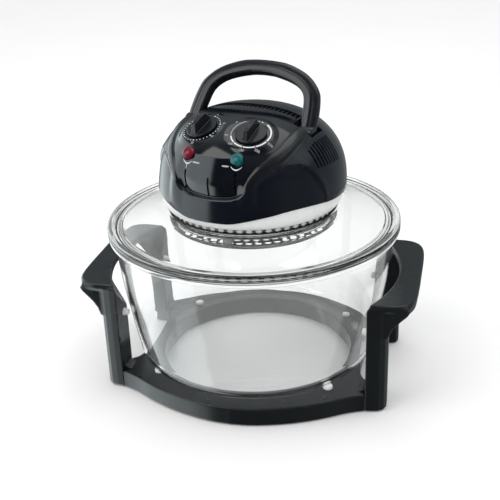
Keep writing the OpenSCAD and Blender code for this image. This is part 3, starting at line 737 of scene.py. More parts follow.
KN = math.radians(22.3), math.radians(6.8)


def knob_matrix(s):
    return Matrix.Translation((s * 29, -54, 304.5)) @ Matrix.Rotation(KN[0], 4, "X") @ Matrix.Rotation(s * KN[1], 4, "Y")


def lamp_matrix(s):
    return Matrix.Translation((s * 28.3, -84.5, 286.5)) @ Matrix.Rotation(math.radians(40), 4, "X")


def nose_r(z, a, r0):
    A = 1 - sm((a - 17.5) / 8.0)
    zl, zc = ledge(a), crease(a)
    top = 287.0
    t = np.clip((top - z) / (top - zc), 0, None)
    r_top = float(dome_r(top))
    r_slope = r_top + (98.4 - r_top) * t ** 0.93
    r_face = 98.3 - 2.3 * (zc - z) / np.maximum(zc - zl, 1)
    r_up = smin(r_slope, r_face, 1.6)
    u = np.clip((z - (zl - 3.6)) / 3.6, 0, 1)
    r_chin = 101.6 - 2.9 * (1 - np.sqrt(1 - u ** 2 * 0.999)) + 2.4 * np.clip((zl - 3.6 - z) / 20, 0, 1)
    w = sm((z - zl) / 1.1)
    r = r_chin * (1 - w) + r_up * w
    r = np.where(z > top, r0, r)
    return r0 + A * (r - r0)


NPHI = 960
phi = np.linspace(-math.pi, math.pi, NPHI, endpoint=False)
az = np.abs(np.degrees(phi))
zb = lower_edge(az)
K1, K2 = 150, 150
Z_MID = 272.0
tt = np.linspace(0, 1, K1)
z_low = zb[None, :] + (Z_MID - zb[None, :]) * tt[:, None]
r_low = dome_r(z_low)
r_low = r_low - 0.5 * np.clip((232 - z_low) / 10, 0, 1)
# upper rows, evenly along the arc
rr = np.linspace(float(dome_r(Z_MID)), 0, 4000)
zz = dome_z(rr)
arc = np.concatenate([[0], np.cumsum(np.hypot(np.diff(rr), np.diff(zz)))])
pick = np.interp(np.linspace(0, arc[-1], K2 + 1)[1:-1], arc, np.arange(4000))
r_up = np.interp(pick, np.arange(4000), rr)[:, None] * np.ones(NPHI)
z_up = np.interp(pick, np.arange(4000), zz)[:, None] * np.ones(NPHI)
R0 = np.vstack([r_low, r_up])
Z0 = np.vstack([z_low, z_up])
PH = np.ones_like(R0) * phi[None, :]
AZ = np.abs(np.degrees(PH))
# smooth dome normal
e = 0.05
dr = dome_r(np.clip(Z0, 232.2, 315.9) + e) - dome_r(np.clip(Z0, 232.2, 315.9) - e)
tr, tz = dr, np.full_like(dr, 2 * e)
ln = np.hypot(tr, tz)
nr, nz = tz / ln, -tr / ln
cosp, sinp = -np.cos(PH), np.sin(PH)          # front is -Y
X0, Y0 = R0 * sinp, R0 * cosp

d = np.zeros_like(R0)
# raised border round the hood
pts = np.column_stack([np.abs(X0).ravel(), Y0.ravel(), Z0.ravel()])
near = (pts[:, 1] < 2) & (pts[:, 0] > 25)
u2 = np.full(len(pts), 1e9)
idx = np.zeros(len(pts), int)
sub = pts[near]
for c0 in range(0, len(sub), 20000):
    blk = sub[c0:c0 + 20000]
    dd = ((blk[:, None, :] - rc_xyz[None, :, :]) ** 2).sum(2)
    k = dd.argmin(1)
    sel = np.where(near)[0][c0:c0 + 20000]
    u2[sel] = dd[np.arange(len(blk)), k]
    idx[sel] = k
u = np.sqrt(u2)
w_r, h_r = rc[idx, 2], rc[idx, 3]
bead = np.clip(1 - (u / w_r) ** 2, 0, 1) ** 0.62 * h_r
bead[~near] = 0
d += bead.reshape(R0.shape)
# cheeks: a steeper wall under a soft arch, with a rounded shoulder above it
ua = AZ * 1.76
arch_poly = np.vstack([arch_line, [(76.4 * 1.76, 205), (24 * 1.76, 205)]])
sd = sd_poly(ua, Z0, arch_poly)
inside = np.clip(-sd, 0, None)
outside = np.clip(sd, 0, None)
fade = 0.3 + 0.7 * sm((Z0 - 228) / 24)
front_fade = sm((AZ - 25) / 7)
cheek = -2.1 * sm(inside / 5.5) * fade * front_fade
shoulder = 0.9 * np.exp(-(outside / 7.0) ** 2) * (Z0 > 236) * front_fade * sm((AZ - 26) / 8) * (1 - sm((AZ - 70) / 10))
shoulder = np.where(bead.reshape(R0.shape) > 0.01, 0, shoulder)
d += np.where(sd < 0, cheek + 0.9 * np.exp(-(inside / 1.6) ** 2) * front_fade * fade, shoulder)

R = R0 + nr * d
Zf = Z0 + nz * d
nose = nose_r(Z0, AZ, R0) - R0
R = R + nose * (AZ < 27)
XYZ = np.stack([R * sinp, R * cosp, Zf], -1)
# flat seats of the knobs
for s in (-1, 1):
    m = np.array(knob_matrix(s), float)
    c, n = m[:3, 3], m[:3, 2]
    rel = XYZ - c
    h = rel @ n
    rho = np.linalg.norm(rel - h[..., None] * n, axis=-1)
    w = (1 - sm((rho - 20.6) / 8.5)) * (np.abs(h) < 14)
    XYZ = XYZ - n * (h * w)[..., None]


def shell(name, thick):
    """closed shell: the shaped outside, a plain inside and the rim between them"""
    nrow = XYZ.shape[0]
    outer = XYZ.reshape(-1, 3)
    n0 = np.stack([nr * sinp, nr * cosp, nz], -1)
    rows = list(range(0, nrow, 3))
    if rows[-1] != nrow - 1:
        rows.append(nrow - 1)
    inner = (XYZ - n0 * thick)[rows]
    inner[0, :, 2] = XYZ[0, :, 2]
    inner = inner.reshape(-1, 3)
    base_i = len(outer)
    v = np.vstack([outer, inner, [[0, 0, float(XYZ[-1, :, 2].mean()) + 0.002]], [[0, 0, float(XYZ[-1, :, 2].mean()) - thick]]])
    top_o, top_i = len(v) - 2, len(v) - 1
    k = np.arange(NPHI)
    k2 = (k + 1) % NPHI
    q = []
    for i in range(nrow - 1):
        q.append(np.column_stack([i * NPHI + k, i * NPHI + k2, (i + 1) * NPHI + k2, (i + 1) * NPHI + k]))
    for i in range(len(rows) - 1):
        q.append(np.column_stack([base_i + i * NPHI + k, base_i + (i + 1) * NPHI + k, base_i + (i + 1) * NPHI + k2, base_i + i * NPHI + k2]))
    q.append(np.column_stack([k, base_i + k, base_i + k2, k2]))
    q = np.vstack(q)
    tri_o = np.column_stack([(nrow - 1) * NPHI + k, (nrow - 1) * NPHI + k2, np.full(NPHI, top_o)])
    tri_i = np.column_stack([base_i + (len(rows) - 1) * NPHI + k, np.full(NPHI, top_i), base_i + (len(rows) - 1) * NPHI + k2])
    v = rot_z(v, TURN)
    me = bpy.data.meshes.new(name)
    me.vertices.add(len(v))
    me.vertices.foreach_set("co", (v * MM).astype(np.float32).ravel())
    loops = np.concatenate([q.ravel(), tri_o.ravel(), tri_i.ravel()]).astype(np.int32)
    me.loops.add(len(loops))
    me.loops.foreach_set("vertex_index", loops)
    starts = np.concatenate([np.arange(len(q)) * 4, len(q) * 4 + np.arange(2 * NPHI) * 3]).astype(np.int32)
    me.polygons.add(len(starts))
    me.polygons.foreach_set("loop_start", starts)
    me.update(calc_edges=True)
    me.validate()
    ob = bpy.data.objects.new(name, me)
    scene.collection.objects.link(ob)
    fix_normals(ob, 35)
    return ob


def polar_block(name, top, r0=45.0, r1=135.0, zlow=205.0):
    """closed ring whose upper face follows top(azimuth)"""
    n = 720
    p = np.linspace(-math.pi, math.pi, n, endpoint=False)
    zt = top(np.abs(np.degrees(p)))
    rings = [(r0, None), (r1, None)]
    v = []
    for r in (r0, r1):
        for zk in (0, 1):
            z = np.full(n, zlow) if zk == 0 else zt
            v.append(np.column_stack([r * np.sin(p), -r * np.cos(p), z]))
    v = np.vstack(v)          # inner low, inner top, outer low, outer top
    k = np.arange(n)
    k2 = (k + 1) % n
    il, it, ol, ot = 0, n, 2 * n, 3 * n
    q = np.vstack([np.column_stack([il + k, il + k2, it + k2, it + k]), np.column_stack([ol + k, ot + k, ot + k2, ol + k2]),
                   np.column_stack([it + k, it + k2, ot + k2, ot + k]), np.column_stack([il + k, ol + k, ol + k2, il + k2])])
    ob = grid_object(name, v, q, True, 35)
    fix_normals(ob, 35)
    return ob


hood_edge = catmull([(61.0, -16.2), (62, -24), (62.2, -33), (59.8, -51), (56, -67), (51, -77), (45, -87), (39.9, -93), (37.4, -98)], 8)
ridge_edge = catmull([(76.2, -15.0), (76.6, -31), (73.2, -56), (64.4, -72.4), (55, -83.6), (46.2, -91.8), (42.4, -97)], 8)
hood_r = [(0, 0), (55.2, 0), (55.2, -14.8)] + [tuple(p) for p in hood_edge] + [(36.6, -113), (0, -113)]


def mirrored(half):
    """half outline from the front or back middle to the other; returns the whole outline"""
    return half + [(-x, y) for x, y in half[::-1] if abs(x) > 1e-6]


def grown(half, g_):
    p = np.array(half, float)
    out = []
    for i in range(len(p)):
        a, b = p[max(i - 1, 0)], p[min(i + 1, len(p) - 1)]
        t = (b - a) / (np.linalg.norm(b - a) + 1e-9)
        n_ = np.array([-t[1], t[0]])
        out.append(tuple(p[i] + n_ * g_))
    return out


body = shell("head_shell", 2.5)
src_bm = bmesh.new()
src_bm.from_mesh(body.data)
bmesh.ops.triangulate(src_bm, faces=src_bm.faces)
src_bm.normal_update()
src_bm.faces.ensure_lookup_table()
src_bvh = BVHTree.FromBMesh(src_bm)


def keep_normals(ob):
    """faces that lie on the uncut shell take its smooth normals, the cut walls stay flat"""
    me = ob.data
    co = np.empty(len(me.vertices) * 3)
    me.vertices.foreach_get("co", co)
    co = co.reshape(-1, 3)
    vn = np.zeros_like(co)
    for i, c in enumerate(co):
        loc, nrm, fi, dist = src_bvh.find_nearest(c)
        if loc is None or dist > 4e-5:
            continue
        f_ = src_bm.faces[fi]
        acc = Vector((0, 0, 0))
        for v_ in f_.verts:
            acc += v_.normal / ((v_.co - loc).length + 1e-5)
        vn[i] = acc.normalized()
    li = np.empty(len(me.loops), np.int32)
    me.loops.foreach_get("vertex_index", li)
    fn = np.empty(len(me.polygons) * 3)
    me.polygons.foreach_get("normal", fn)
    fn = fn.reshape(-1, 3)
    tot = np.empty(len(me.polygons), np.int32)
    me.polygons.foreach_get("loop_total", tot)
    fl = np.repeat(fn, tot, axis=0)
    ln_ = vn[li]
    ok = (ln_ * fl).sum(1) > 0.8
    ln_ = np.where(ok[:, None], ln_, fl)
    me.normals_split_custom_set(ln_.tolist())
    me.update()

lower = cut(copy_of(body, "lower_shell"), polar_block("c", split_top), "INTERSECT")
rest = cut(body, polar_block("c", lambda a: split_top(a) + 0.3), "DIFFERENCE")

# cuts shared by the upper pieces
slots = []
for s in (-1, 1):
    x0, x1 = (57.5, 79.5) if s > 0 else (-79.5, -57.5)
    slots.append(prism("s", [(x0 + 1.5, -14), (x1 - 1.5, -14), (x1 - 0.4, -13.6), (x1, -12.5), (x1, 12.5), (x1 - 0.4, 13.6), (x1 - 1.5, 14),
                             (x0 + 1.5, 14), (x0 + 0.4, 13.6), (x0, 12.5), (x0, -12.5), (x0 + 0.4, -13.6)], 284, 340))
rest = cut(rest, join_meshes("slots", slots), "DIFFERENCE")

hood_cut = prism("hood_cut", mirrored(hood_r), 200, 345)
hood_cut_big = prism("hood_cut_big", mirrored([(x + (0.22 if x > 1 else 0), y) for x, y in hood_r]), 200, 345)
ridge_half = [tuple(p) for p in grown([tuple(p) for p in hood_edge], -0.0)]
ridge_loop = [(55.42, -14.8)] + [(x + 0.22, y) for x, y in hood_edge] + [(36.9, -113), (41.2, -113)] + [tuple(p) for p in ridge_edge[::-1]]
ridge_cut = [prism("r", [(s * x, y) for x, y in ridge_loop], 200, 345) for s in (-1, 1)]
ridge_cut_big = [prism("r", [(s * x, y) for x, y in ([(55.42, -14.8)] + [(x + 0.22, y) for x, y in hood_edge] + [(36.9, -113), (41.45, -113)]
                             + [(p[0] + 0.25, p[1]) for p in ridge_edge[::-1]])], 199, 346) for s in (-1, 1)]
hood = cut(copy_of(rest, "control_hood_body"), hood_cut, "INTERSECT")
border = cut(copy_of(rest, "hood_border_body"), join_meshes("r", ridge_cut), "INTERSECT")
upper = cut(rest, hood_cut_big, "DIFFERENCE")
upper = cut(upper, join_meshes("r", ridge_cut_big), "DIFFERENCE")
# channel behind the hood
upper = cut(upper, box_mesh("ch", (-55.6, -2, 286), (55.6, 12.8, 345)), "DIFFERENCE")
# cooling slots
vents = []
for s in (-1, 1):
    for i in range(9):
        y0 = -32.2 + i * 5
        x0, x1 = (82.6, 120) if s > 0 else (-120, -82.6)
        vents.append(box_mesh("v", (x0, y0 - 0.1, 268.6 - 0.25 * i), (x1, y0 + 2.6, 291.0)))
upper = cut(upper, join_meshes("vents", vents), "DIFFERENCE")
# cord inlet
inl = revolve("inl", [(0, 80), (6.1, 80), (6.1, 120), (0, 120)], 48)
inl.data.transform(Matrix.Rotation(TURN, 4, "Z") @ Matrix.Translation((0, 0, 0.248)) @ Matrix.Rotation(math.radians(-90), 4, "X"))
upper = cut(upper, inl, "DIFFERENCE")

# hood: nose slots, lamp holes, knob wells
nslots = [box_mesh("n", (x - 1.15, -120, 247.2 + zl_), (x + 1.15, -88, 270.5 + zt_)) for x, zl_, zt_ in ((-29, 4.6, 0.5), (0, 0, -3.5), (29, 4.6, 2.5))]
hood = cut(hood, join_meshes("n", nslots), "DIFFERENCE")
for s in (-1, 1):
    for mtx, r, z0, z1 in ((knob_matrix(s), 18.2, -0.9, 12), (lamp_matrix(s), 6.75, -9, 12), (knob_matrix(s), 4.2, -12, 4)):
        cyl = revolve("cyl", [(0, z0), (r, z0), (r, z1), (0, z1)], 96)
        m = Matrix.Rotation(TURN, 4, "Z") @ mtx
        m.translation = m.translation * MM
        cyl.data.transform(m)
        cyl.data.update()
        hood = cut(hood, cyl, "DIFFERENCE")

lower.name = "lower_housing_body"
upper.name = "upper_housing_body"
for ob in (lower, upper, border, hood):
    keep_normals(ob)
piece(lower, "housing", "lid", "housing_black", "lower_housing")
piece(upper, "housing", "lid", "housing_black", "upper_housing")
piece(border, "border", "lid", "hood_black", "hood_border")
piece(hood, "hood", "lid", "hood_black", "control_hood")

# channel floor with its ribs
gx = np.linspace(-54.6, 54.6, 110)
gy = np.linspace(-3.0, 13.8, 18)
rib = []
top_z = lambda x, y, dd: float(dome_z(np.hypot(x, y))) - dd


def slab(x0, x1, y0, y1, d0, d1, nx, ny):
    xs, ys = np.linspace(x0, x1, nx), np.linspace(y0, y1, ny)
    v, f = [], []
    for dd in (d0, d1):
        for y in ys:
            for x in xs:
                v.append((x, y, top_z(x, y, dd)))
    o = nx * ny
    for j in range(ny - 1):
        for i in range(nx - 1):
            a = j * nx + i
            f.append((a, a + 1, a + nx + 1, a + nx))
            f.append((o + a, o + a + nx, o + a + nx + 1, o + a + 1))
    edge = [i for i in range(nx)] + [j * nx + nx - 1 for j in range(1, ny)] + [(ny - 1) * nx + i for i in range(nx - 2, -1, -1)] + [j * nx for j in range(ny - 2, 0, -1)]
    for i in range(len(edge)):
        a, b = edge[i], edge[(i + 1) % len(edge)]
        f.append((a, o + a, o + b, b))
    return new_object("slab", v, f, True)


parts = [slab(-54.6, 54.6, -2.9, 13.9, 5.0, 6.6, 56, 8)]
for i in range(-10, 11):
    parts.append(slab(i * 5 - 0.8, i * 5 + 0.8, 0.6, 12.4, 1.6, 5.6, 3, 6))
strip = join_meshes("channel_strip_body", parts, 35)
fix_normals(strip)
piece(strip, "inner", "lid", "inner_black", "channel_strip")

# ------------------------------------------------------------------ lamps

def placed(ob, mtx):
    m = Matrix.Rotation(TURN, 4, "Z") @ mtx
    m.translation = m.translation * MM
    ob.data.transform(m)
    ob.data.update()
    return ob


for s, nm, look, slot_, node in ((-1, "power", "red", "lens_red", "power_lens"), (1, "heat", "green", "lens_green", "heat_lens")):
    prof = [(0, -6), (5.8, -6), (5.8, 0.6), (6.6, 0.8), (6.9, 1.4), (6.8, 2.2), (6.3, 2.8)]
    prof += [(6.0 * math.cos(math.radians(a)), 2.6 + 2.2 * math.sin(math.radians(a))) for a in range(12, 90, 11)] + [(0, 4.8)]
    ob = revolve(nm + "_lens_body", prof, 96, False, 30)
    piece(placed(ob, lamp_matrix(s)), look, "lid", slot_, node)

# ------------------------------------------------------------------ knobs


def knob_sdf(a):
    ca, sa = math.cos(math.radians(a)), math.sin(math.radians(a))

    def f(X, Y, Z):
        x = X * ca + Y * sa
        y = -X * sa + Y * ca
        r = np.sqrt(X * X + Y * Y)
        skirt = extrude_sd(r - (16.8 - 0.16 * np.clip(Z, 0, 5)), Z, 0.3, 2.6, 0.8)
        half_w = 3.5 - 0.055 * (Z - 2)
        side = np.abs(x) - half_w
        end = (np.abs(y) - (14.8 - (Z - 2.6) * 0.52)) * 0.89
        top = Z - 13.2 + 0.01 * y * y
        fin = smax(smax(side, end, 0.8), smax(top, 1.0 - Z, 0.5), 1.3)
        body_ = smin(skirt, fin, 0.9)
        mark = np.maximum(np.maximum(np.abs(x) - 0.5, 12.6 - Z), np.maximum(y - 7, 1.5 - y))
        core = np.maximum(r - 3.0, Z - 6)
        return np.maximum(np.maximum(body_, -mark), -core)

    return f


for s, a, nm, body_, node in ((-1, -8, "timer", "timer", "timer_knob"), (1, -2, "thermostat", "thermostat", "thermostat_knob")):
    ob = sdf_object(nm + "_knob_body", knob_sdf(a), (-18.5, -18.5, -0.5), (18.5, 18.5, 17.5), 0.33, relax=1)
    piece(placed(ob, knob_matrix(s)), "knob", body_, "knob_black", node)

# ------------------------------------------------------------------ carry handle

out_uv = [(77, -9.0), (77.1, 2), (77, 13), (75.8, 26), (74, 37), (71, 47), (65, 55.5), (57, 63), (46, 69.5), (29, 75.8), (14, 78), (0, 78.6)]
in_uv = [(60, -9.0), (60.1, 2), (60, 12), (58.3, 25), (56.9, 34), (54.2, 41.6), (48.4, 48.4), (40, 53.8), (28.4, 58), (14, 61.4), (7, 62.1), (0, 62.4)]
outc, inc = catmull(out_uv, 12), catmull(in_uv, 12)
outc = np.vstack([outc, (outc[::-1] * [-1, 1])[1:]])
inc = np.vstack([inc, (inc[::-1] * [-1, 1])[1:]])
# section: w runs from the inner (0) to the outer (1) edge, n is across the handle's plane
sec = [(0.0, -3.6), (0.03, -5.2), (0.12, -6.2), (0.26, -6.5), (0.44, -6.5), (0.5, -6.2), (0.55, -5.6), (0.62, -5.4), (0.74, -5.0), (0.87, -4.2),
       (0.96, -3.2), (1.0, -1.8), (1.0, 1.8), (0.97, 4.0), (0.9, 5.6), (0.78, 6.4), (0.5, 6.5), (0.22, 6.4), (0.1, 5.7), (0.02, 4.2), (0.0, 2.4)]
lean = math.radians(37.5)
verts, faces = [], []
for i in range(len(outc)):
    for w_, n_ in sec:
        uv = inc[i] * (1 - w_) + outc[i] * w_
        # the section point, carried into the handle's leaning plane
        x, v_, n__ = uv[0], uv[1], n_
        y = -3.5 + v_ * math.sin(lean) + n__ * math.cos(lean)
        z = 293.7 + v_ * math.cos(lean) - n__ * math.sin(lean)
        verts.append((x, y, z))
m_ = len(sec)
for i in range(len(outc) - 1):
    for k in range(m_):
        k2 = (k + 1) % m_
        faces.append((i * m_ + k, i * m_ + k2, (i + 1) * m_ + k2, (i + 1) * m_ + k))
faces.append(tuple(range(m_ - 1, -1, -1)))
faces.append(tuple((len(outc) - 1) * m_ + k for k in range(m_)))
bail = new_object("carry_handle_bail", verts, faces, True, 0)
fix_normals(bail, 0)
mod = bail.modifiers.new("sub", "SUBSURF")
mod.levels = mod.render_levels = 1
bake(bail, 0)
parts = [bail]
for s in (-1, 1):
    hub = revolve("hub", round_profile([(0, 0), (8.6, 0), (8.6, 16.8), (0, 16.8)], [0, 1.0, 1.0, 0], 4), 72)
    m = Matrix.Rotation(TURN, 4, "Z") @ Matrix.Translation((s * 60.1, -3.5, 293.7)) @ Matrix.Rotation(math.radians(90 * s), 4, "Y")
    m.translation = m.translation * MM
    hub.data.transform(m)
    parts.append(hub)
bail = join_meshes("carry_handle_body", parts, 45)
piece(bail, "handle", "handle", "handle_black", "carry_handle")

# ------------------------------------------------------------------ prints on the hood

bpy.context.view_layer.update()
hb = bmesh.new()
hb.from_mesh(hood.data)
bvh = BVHTree.FromBMesh(hb)
hb.free()


def project(points, origin_of, direction, lift=0.06):
    """points in head millimetres are sent along direction until they meet the hood"""
    rt = Matrix.Rotation(TURN, 4, "Z")
    out = []
    for p in points:
        o = rt @ Vector(p)
        dv = (rt.to_3x3() @ Vector(direction)).normalized()
        hit, nrm, _, _ = bvh.ray_cast((o - dv * 30) * MM, dv, 0.08)
        out.append(None if hit is None else (hit, nrm))
    return out


def decal(name, verts, faces, direction, look="print", top=0.07, low=0.05):
    hits = project(verts, None, direction)
    bm = bmesh.new()
    tv, bv = [], []
    for h_ in hits:
        if h_ is None:
            tv.append(None)
            bv.append(None)
            continue
        p, n = h_
        if n.dot(Vector((0, 0, 1))) < -0.2:
            n = -n
        tv.append(bm.verts.new(p + n * top * MM))
        bv.append(bm.verts.new(p - n * low * MM))
    edges = {}
    for f in faces:
        if any(tv[i] is None for i in f):
            continue
        try:
            bm.faces.new([tv[i] for i in f])
            bm.faces.new([bv[i] for i in reversed(f)])
        except ValueError:
            continue
        for i in range(len(f)):
            a, b = f[i], f[(i + 1) % len(f)]
            key = (min(a, b), max(a, b))
            edges.setdefault(key, []).append((a, b))
    for es in edges.values():
        if len(es) == 1:
            a, b = es[0]
            bm.faces.new([tv[b], tv[a], bv[a], bv[b]])
    bmesh.ops.recalc_face_normals(bm, faces=bm.faces)
    me = bpy.data.meshes.new(name)
    bm.to_mesh(me)
    bm.free()
    ob = bpy.data.objects.new(name, me)
    scene.collection.objects.link(ob)
    return ob


def arc_strip(mtx, r0, r1, a0, a1, step=3.0):
    n = max(2, int(abs(a1 - a0) / step) + 1)
    v, f = [], []
    for i in range(n):
        a = math.radians(a0 + (a1 - a0) * i / (n - 1))
        for r in (r0, r1):
            v.append(tuple(mtx @ Vector((r * math.cos(a), r * math.sin(a), 0))))
    for i in range(n - 1):
        f.append((2 * i, 2 * i + 1, 2 * i + 3, 2 * i + 2))
    return v, f


def dot(mtx, r, a, size, n=10):
    c = Vector((r * math.cos(math.radians(a)), r * math.sin(math.radians(a)), 0))
    v = [tuple(mtx @ (c + Vector((size * math.cos(2 * math.pi * k / n), size * math.sin(2 * math.pi * k / n), 0)))) for k in range(n)]
    return v, [tuple(range(n))]


def text_mesh(mtx, body_, x, y, size):
    cu = bpy.data.curves.new("t", "FONT")
    cu.body = body_
    cu.size = size
    cu.align_x, cu.align_y = "CENTER", "CENTER"
    cu.resolution_u = 3
    o = bpy.data.objects.new("t", cu)
    scene.collection.objects.link(o)
    dg = bpy.context.evaluated_depsgraph_get()
    dg.update()
    me = bpy.data.meshes.new_from_object(o.evaluated_get(dg))
    bm = bmesh.new()
    bm.from_mesh(me)
    bmesh.ops.remove_doubles(bm, verts=bm.verts, dist=1e-5)
    v = [tuple(mtx @ Vector((w_.co.x + x, w_.co.y + y, 0))) for w_ in bm.verts]
    f = [tuple(w_.index for w_ in fc.verts) for fc in bm.faces]
    bm.free()
    bpy.data.objects.remove(o)
    return v, f


def merge(items):
    v, f = [], []
    for a, b in items:
        o = len(v)
        v += a
        f += [tuple(i + o for i in t) for t in b]
    return v, f


made = []
kt, kh = knob_matrix(-1), knob_matrix(1)
axis_t = -(kt.to_3x3() @ Vector((0, 0, 1)))
axis_h = -(kh.to_3x3() @ Vector((0, 0, 1)))
# timer: dots and plain minutes
items = []
for i in range(31):
    a = 90 - 18 - i * 10.8
    items.append(dot(kt, 20.4, a, 0.85 if i % 5 == 0 else 0.6))
v, f = merge(items)
made.append(decal("timer_dots", v, f, axis_t))
items = []
for i, t in enumerate(["0", "10", "20", "30", "40", "50", "60"]):
    a = math.radians(90 - 18 - i * 54)
    items.append(text_mesh(kt, t, 24.6 * math.cos(a), 24.0 * math.sin(a), 3.7))
v, f = merge(items)
made.append(decal("timer_numbers", v, f, axis_t, "print_dim"))
# thermostat: broken ring and plain degrees
segs = [(60, -14.5), (-17.5, -51.5), (-54.5, -88.5), (-91.5, -122.5), (-125.5, -153)]
items = [arc_strip(kh, 20.0, 21.5, a0, a1) for a0, a1 in segs]
items += [dot(kh, 20.8, 79, 0.75)]
v, f = merge(items)
made.append(decal("thermostat_ring", v, f, axis_h))
items = [arc_strip(kh, 20.5, 21.1, -153, -232), arc_strip(kh, 20.5, 21.1, 104, 86)]
for t, a in (("65", -156), ("100", -124), ("150", -90), ("200", -53), ("250", -17), ("0", 150)):
    ar = math.radians(a)
    items.append(text_mesh(kh, t, 25.6 * math.cos(ar), 24.8 * math.sin(ar), 3.7))
v, f = merge(items)
made.append(decal("thermostat_numbers", v, f, axis_h))
# lamp marks: an arc, a fine line and a short bar
items = []
for s in (-1, 1):
    n = 13
    v, f = [], []
    for i in range(n):
        uu = -1 + 2 * i / (n - 1)
        th = 0.62 * (1 - 0.45 * abs(uu))
        for o in (-th, th):
            v.append((s * 28.6 + uu * 5.6, -84.0, 276.6 + 3.0 * uu * uu + o))
    f = [(2 * i, 2 * i + 1, 2 * i + 3, 2 * i + 2) for i in range(n - 1)]
    items.append((v, f))
    items.append(([(s * 28.8 - 0.22, -84, 276), (s * 28.8 + 0.22, -84, 276), (s * 28.9 + 0.18, -84, 272), (s * 28.9 - 0.18, -84, 272)], [(0, 1, 2, 3)]))
v, f = merge(items)
made.append(decal("lamp_marks", v, f, (0, 1, 0)))
items = []
for x0, x1, zc in ((-21.5, -12.5, 279.2), (13.5, 20.8, 279.6)):
    v, f = [], []
    n = 7
    for i in range(n):
        uu = i / (n - 1)
        hh = 0.7 if 0 < i < n - 1 else 0.4
        v += [(x0 + (x1 - x0) * uu, -84, zc - hh), (x0 + (x1 - x0) * uu, -84, zc + hh)]
    f = [(2 * i, 2 * i + 1, 2 * i + 3, 2 * i + 2) for i in range(n - 1)]
    items.append((v, f))
v, f = merge(items)
made.append(decal("lamp_bars", v, f, (0, 1, 0)))
for ob, look in zip(made, ("print", "print_dim", "print", "print_dim", "print", "print_dim")):
    piece(ob, look, "lid", "hood_black")

# ------------------------------------------------------------------ stage, light, camera

floor_v = [(-6000, -6000, 0), (6000, -6000, 0), (6000, 6000, 0), (-6000, 6000, 0)]
floor = new_object("floor", [(x, y, -0.05) for x, y, z in floor_v], [(0, 1, 2, 3)])
fm, nt, b = node_material("floor_pale")
nt.links.new(ramp(nt, noise(nt, coords(nt), 2.0, 2.0), [(0.3, g(0.86)), (0.7, g(0.88))]), b.inputs["Base Color"])
b.inputs["Roughness"].default_value = 0.9
b.inputs["Specular IOR Level"].default_value = 0.1
floor.data.materials.append(fm)
floor.visible_glossy = False

world = bpy.data.worlds.new("studio")
scene.world = world
world.use_nodes = True
wt = world.node_tree
wt.nodes.clear()
wo = wt.nodes.new("ShaderNodeOutputWorld")
tc = wt.nodes.new("ShaderNodeTexCoord")
sep = wt.nodes.new("ShaderNodeSeparateXYZ")
wt.links.new(tc.outputs["Generated"], sep.inputs[0])


def wmath(op, a, b=None, clamp=False):
    n = wt.nodes.new("ShaderNodeMath")
    n.operation = op
    n.use_clamp = clamp
    for i, x in enumerate((a, b)):
        if x is None:
            continue
        if isinstance(x, (int, float)):
            n.inputs[i].default_value = x
        else:
            wt.links.new(x, n.inputs[i])
    return n.outputs[0]


def wstep(v, lo, hi):
    n = wt.nodes.new("ShaderNodeMapRange")
    n.interpolation_type = "SMOOTHSTEP"
    wt.links.new(v, n.inputs["Value"])
    n.inputs["From Min"].default_value = lo
    n.inputs["From Max"].default_value = hi
    return n.outputs["Result"]


# azimuth of the seen direction, 0 towards -Y and growing towards +X
azm = wmath("ARCTAN2", sep.outputs["X"], wmath("MULTIPLY", sep.outputs["Y"], -1.0))
left = wmath("MULTIPLY", wstep(azm, math.radians(-37), math.radians(-44)), wstep(azm, math.radians(-152), math.radians(-126)))
elev = sep.outputs["Z"]
over = wmath("MULTIPLY", wstep(elev, 0.5, 0.95), 0.13)
back = wmath("MULTIPLY", wstep(wmath("ABSOLUTE", azm), math.radians(80), math.radians(128)), 0.4)
left = wmath("MULTIPLY", left, wstep(elev, 0.66, 0.42))
lum = wmath("ADD", wmath("MULTIPLY", left, 2.1), over)
lum = wmath("ADD", lum, wmath("MULTIPLY", back, wmath("ADD", wmath("MULTIPLY", wstep(elev, 0.35, 0.7), 0.6), 0.4)))
brow = wmath("MULTIPLY", wstep(azm, math.radians(52), math.radians(74)), wstep(azm, math.radians(125), math.radians(100)))
brow = wmath("MULTIPLY", brow, wmath("MULTIPLY", wstep(elev, 0.34, 0.55), wstep(elev, 0.93, 0.8)))
lum = wmath("ADD", lum, wmath("MULTIPLY", brow, 0.62))
side = wmath("MULTIPLY", wstep(azm, math.radians(20), math.radians(60)), 0.13)
lum = wmath("ADD", lum, wmath("MULTIPLY", side, wstep(elev, 0.6, 0.1)))
lum = wmath("ADD", wmath("MINIMUM", lum, 2.1), 0.03)
bg_g = wt.nodes.new("ShaderNodeBackground")
wt.links.new(lum, bg_g.inputs["Strength"])
bg_g.inputs["Color"].default_value = (0.9, 0.99, 1.0, 1)
bg = wt.nodes.new("ShaderNodeBackground")
bg.inputs["Color"].default_value = (1, 1, 1, 1)
bg.inputs["Strength"].default_value = 1.0
lp = wt.nodes.new("ShaderNodeLightPath")
deep = wmath("GREATER_THAN", lp.outputs["Transmission Depth"], 0.5)
dim = wmath("SUBTRACT", 1.0, wmath("MULTIPLY", wmath("MULTIPLY", lp.outputs["Is Glossy Ray"], deep), 0.25))
wt.links.new(dim, bg.inputs["Strength"])
gl = wmath("MULTIPLY", lp.outputs["Is Glossy Ray"], wmath("SUBTRACT", 1.0, deep))
mx = wt.nodes.new("ShaderNodeMixShader")
wt.links.new(gl, mx.inputs["Fac"])
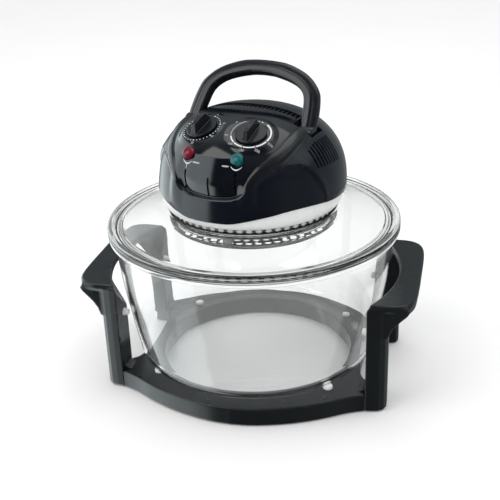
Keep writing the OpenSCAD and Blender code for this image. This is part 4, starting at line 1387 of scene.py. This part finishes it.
wt.links.new(bg.outputs[0], mx.inputs[1])
wt.links.new(bg_g.outputs[0], mx.inputs[2])
wt.links.new(mx.outputs[0], wo.inputs["Surface"])


def area(name, loc, target, size, power, color=(1, 1, 1), spec=1.0):
    li = bpy.data.lights.new(name, "AREA")
    li.shape = "RECTANGLE"
    li.size, li.size_y = size
    li.energy = power
    li.color = color
    li.specular_factor = spec
    ob = bpy.data.objects.new(name, li)
    scene.collection.objects.link(ob)
    ob.location = loc
    ob.rotation_euler = (Vector(target) - Vector(loc)).to_track_quat("-Z", "Y").to_euler()
    return ob


# clear glass lets the light through to the floor
bowl.visible_shadow = False
lid.visible_shadow = False

area("key", (-1.1, -0.9, 1.9), (0, 0, 0.15), (1.4, 1.2), 13, (1, 0.995, 0.98), 0.0)
area("top", (0.3, 0.5, 2.2), (0, 0, 0.1), (1.8, 1.4), 10, (0.98, 0.99, 1.0), 0.0)

E, F_PX, D_CAM, YAW, PITCH, ROLL = math.radians(24.39), 922.6, 1064.0, math.radians(-0.29), math.radians(24.59), math.radians(-2.1)
Cc = Vector((0, -D_CAM * math.cos(E), 150 + D_CAM * math.sin(E)))
fwd = Vector((math.sin(YAW) * math.cos(PITCH), math.cos(YAW) * math.cos(PITCH), -math.sin(PITCH)))
right = Vector((math.cos(YAW), -math.sin(YAW), 0))
up = right.cross(fwd)
r2 = right * math.cos(ROLL) + up * math.sin(ROLL)
u2_ = -right * math.sin(ROLL) + up * math.cos(ROLL)
SPIN = Matrix.Rotation(math.radians(13.81), 4, "Z")
cm = Matrix((r2, u2_, -fwd)).transposed().to_4x4()
cm.translation = Cc * MM
cam_data = bpy.data.cameras.new("camera")
cam = bpy.data.objects.new("camera", cam_data)
scene.collection.objects.link(cam)
cam.matrix_world = SPIN @ cm
cam_data.sensor_width = 36.0
cam_data.lens = F_PX * 36.0 / 500.0
cam_data.shift_x = -0.0012
cam_data.clip_start, cam_data.clip_end = 0.05, 30
scene.camera = cam
scene.view_settings.view_transform = "Standard"

bpy.context.view_layer.update()
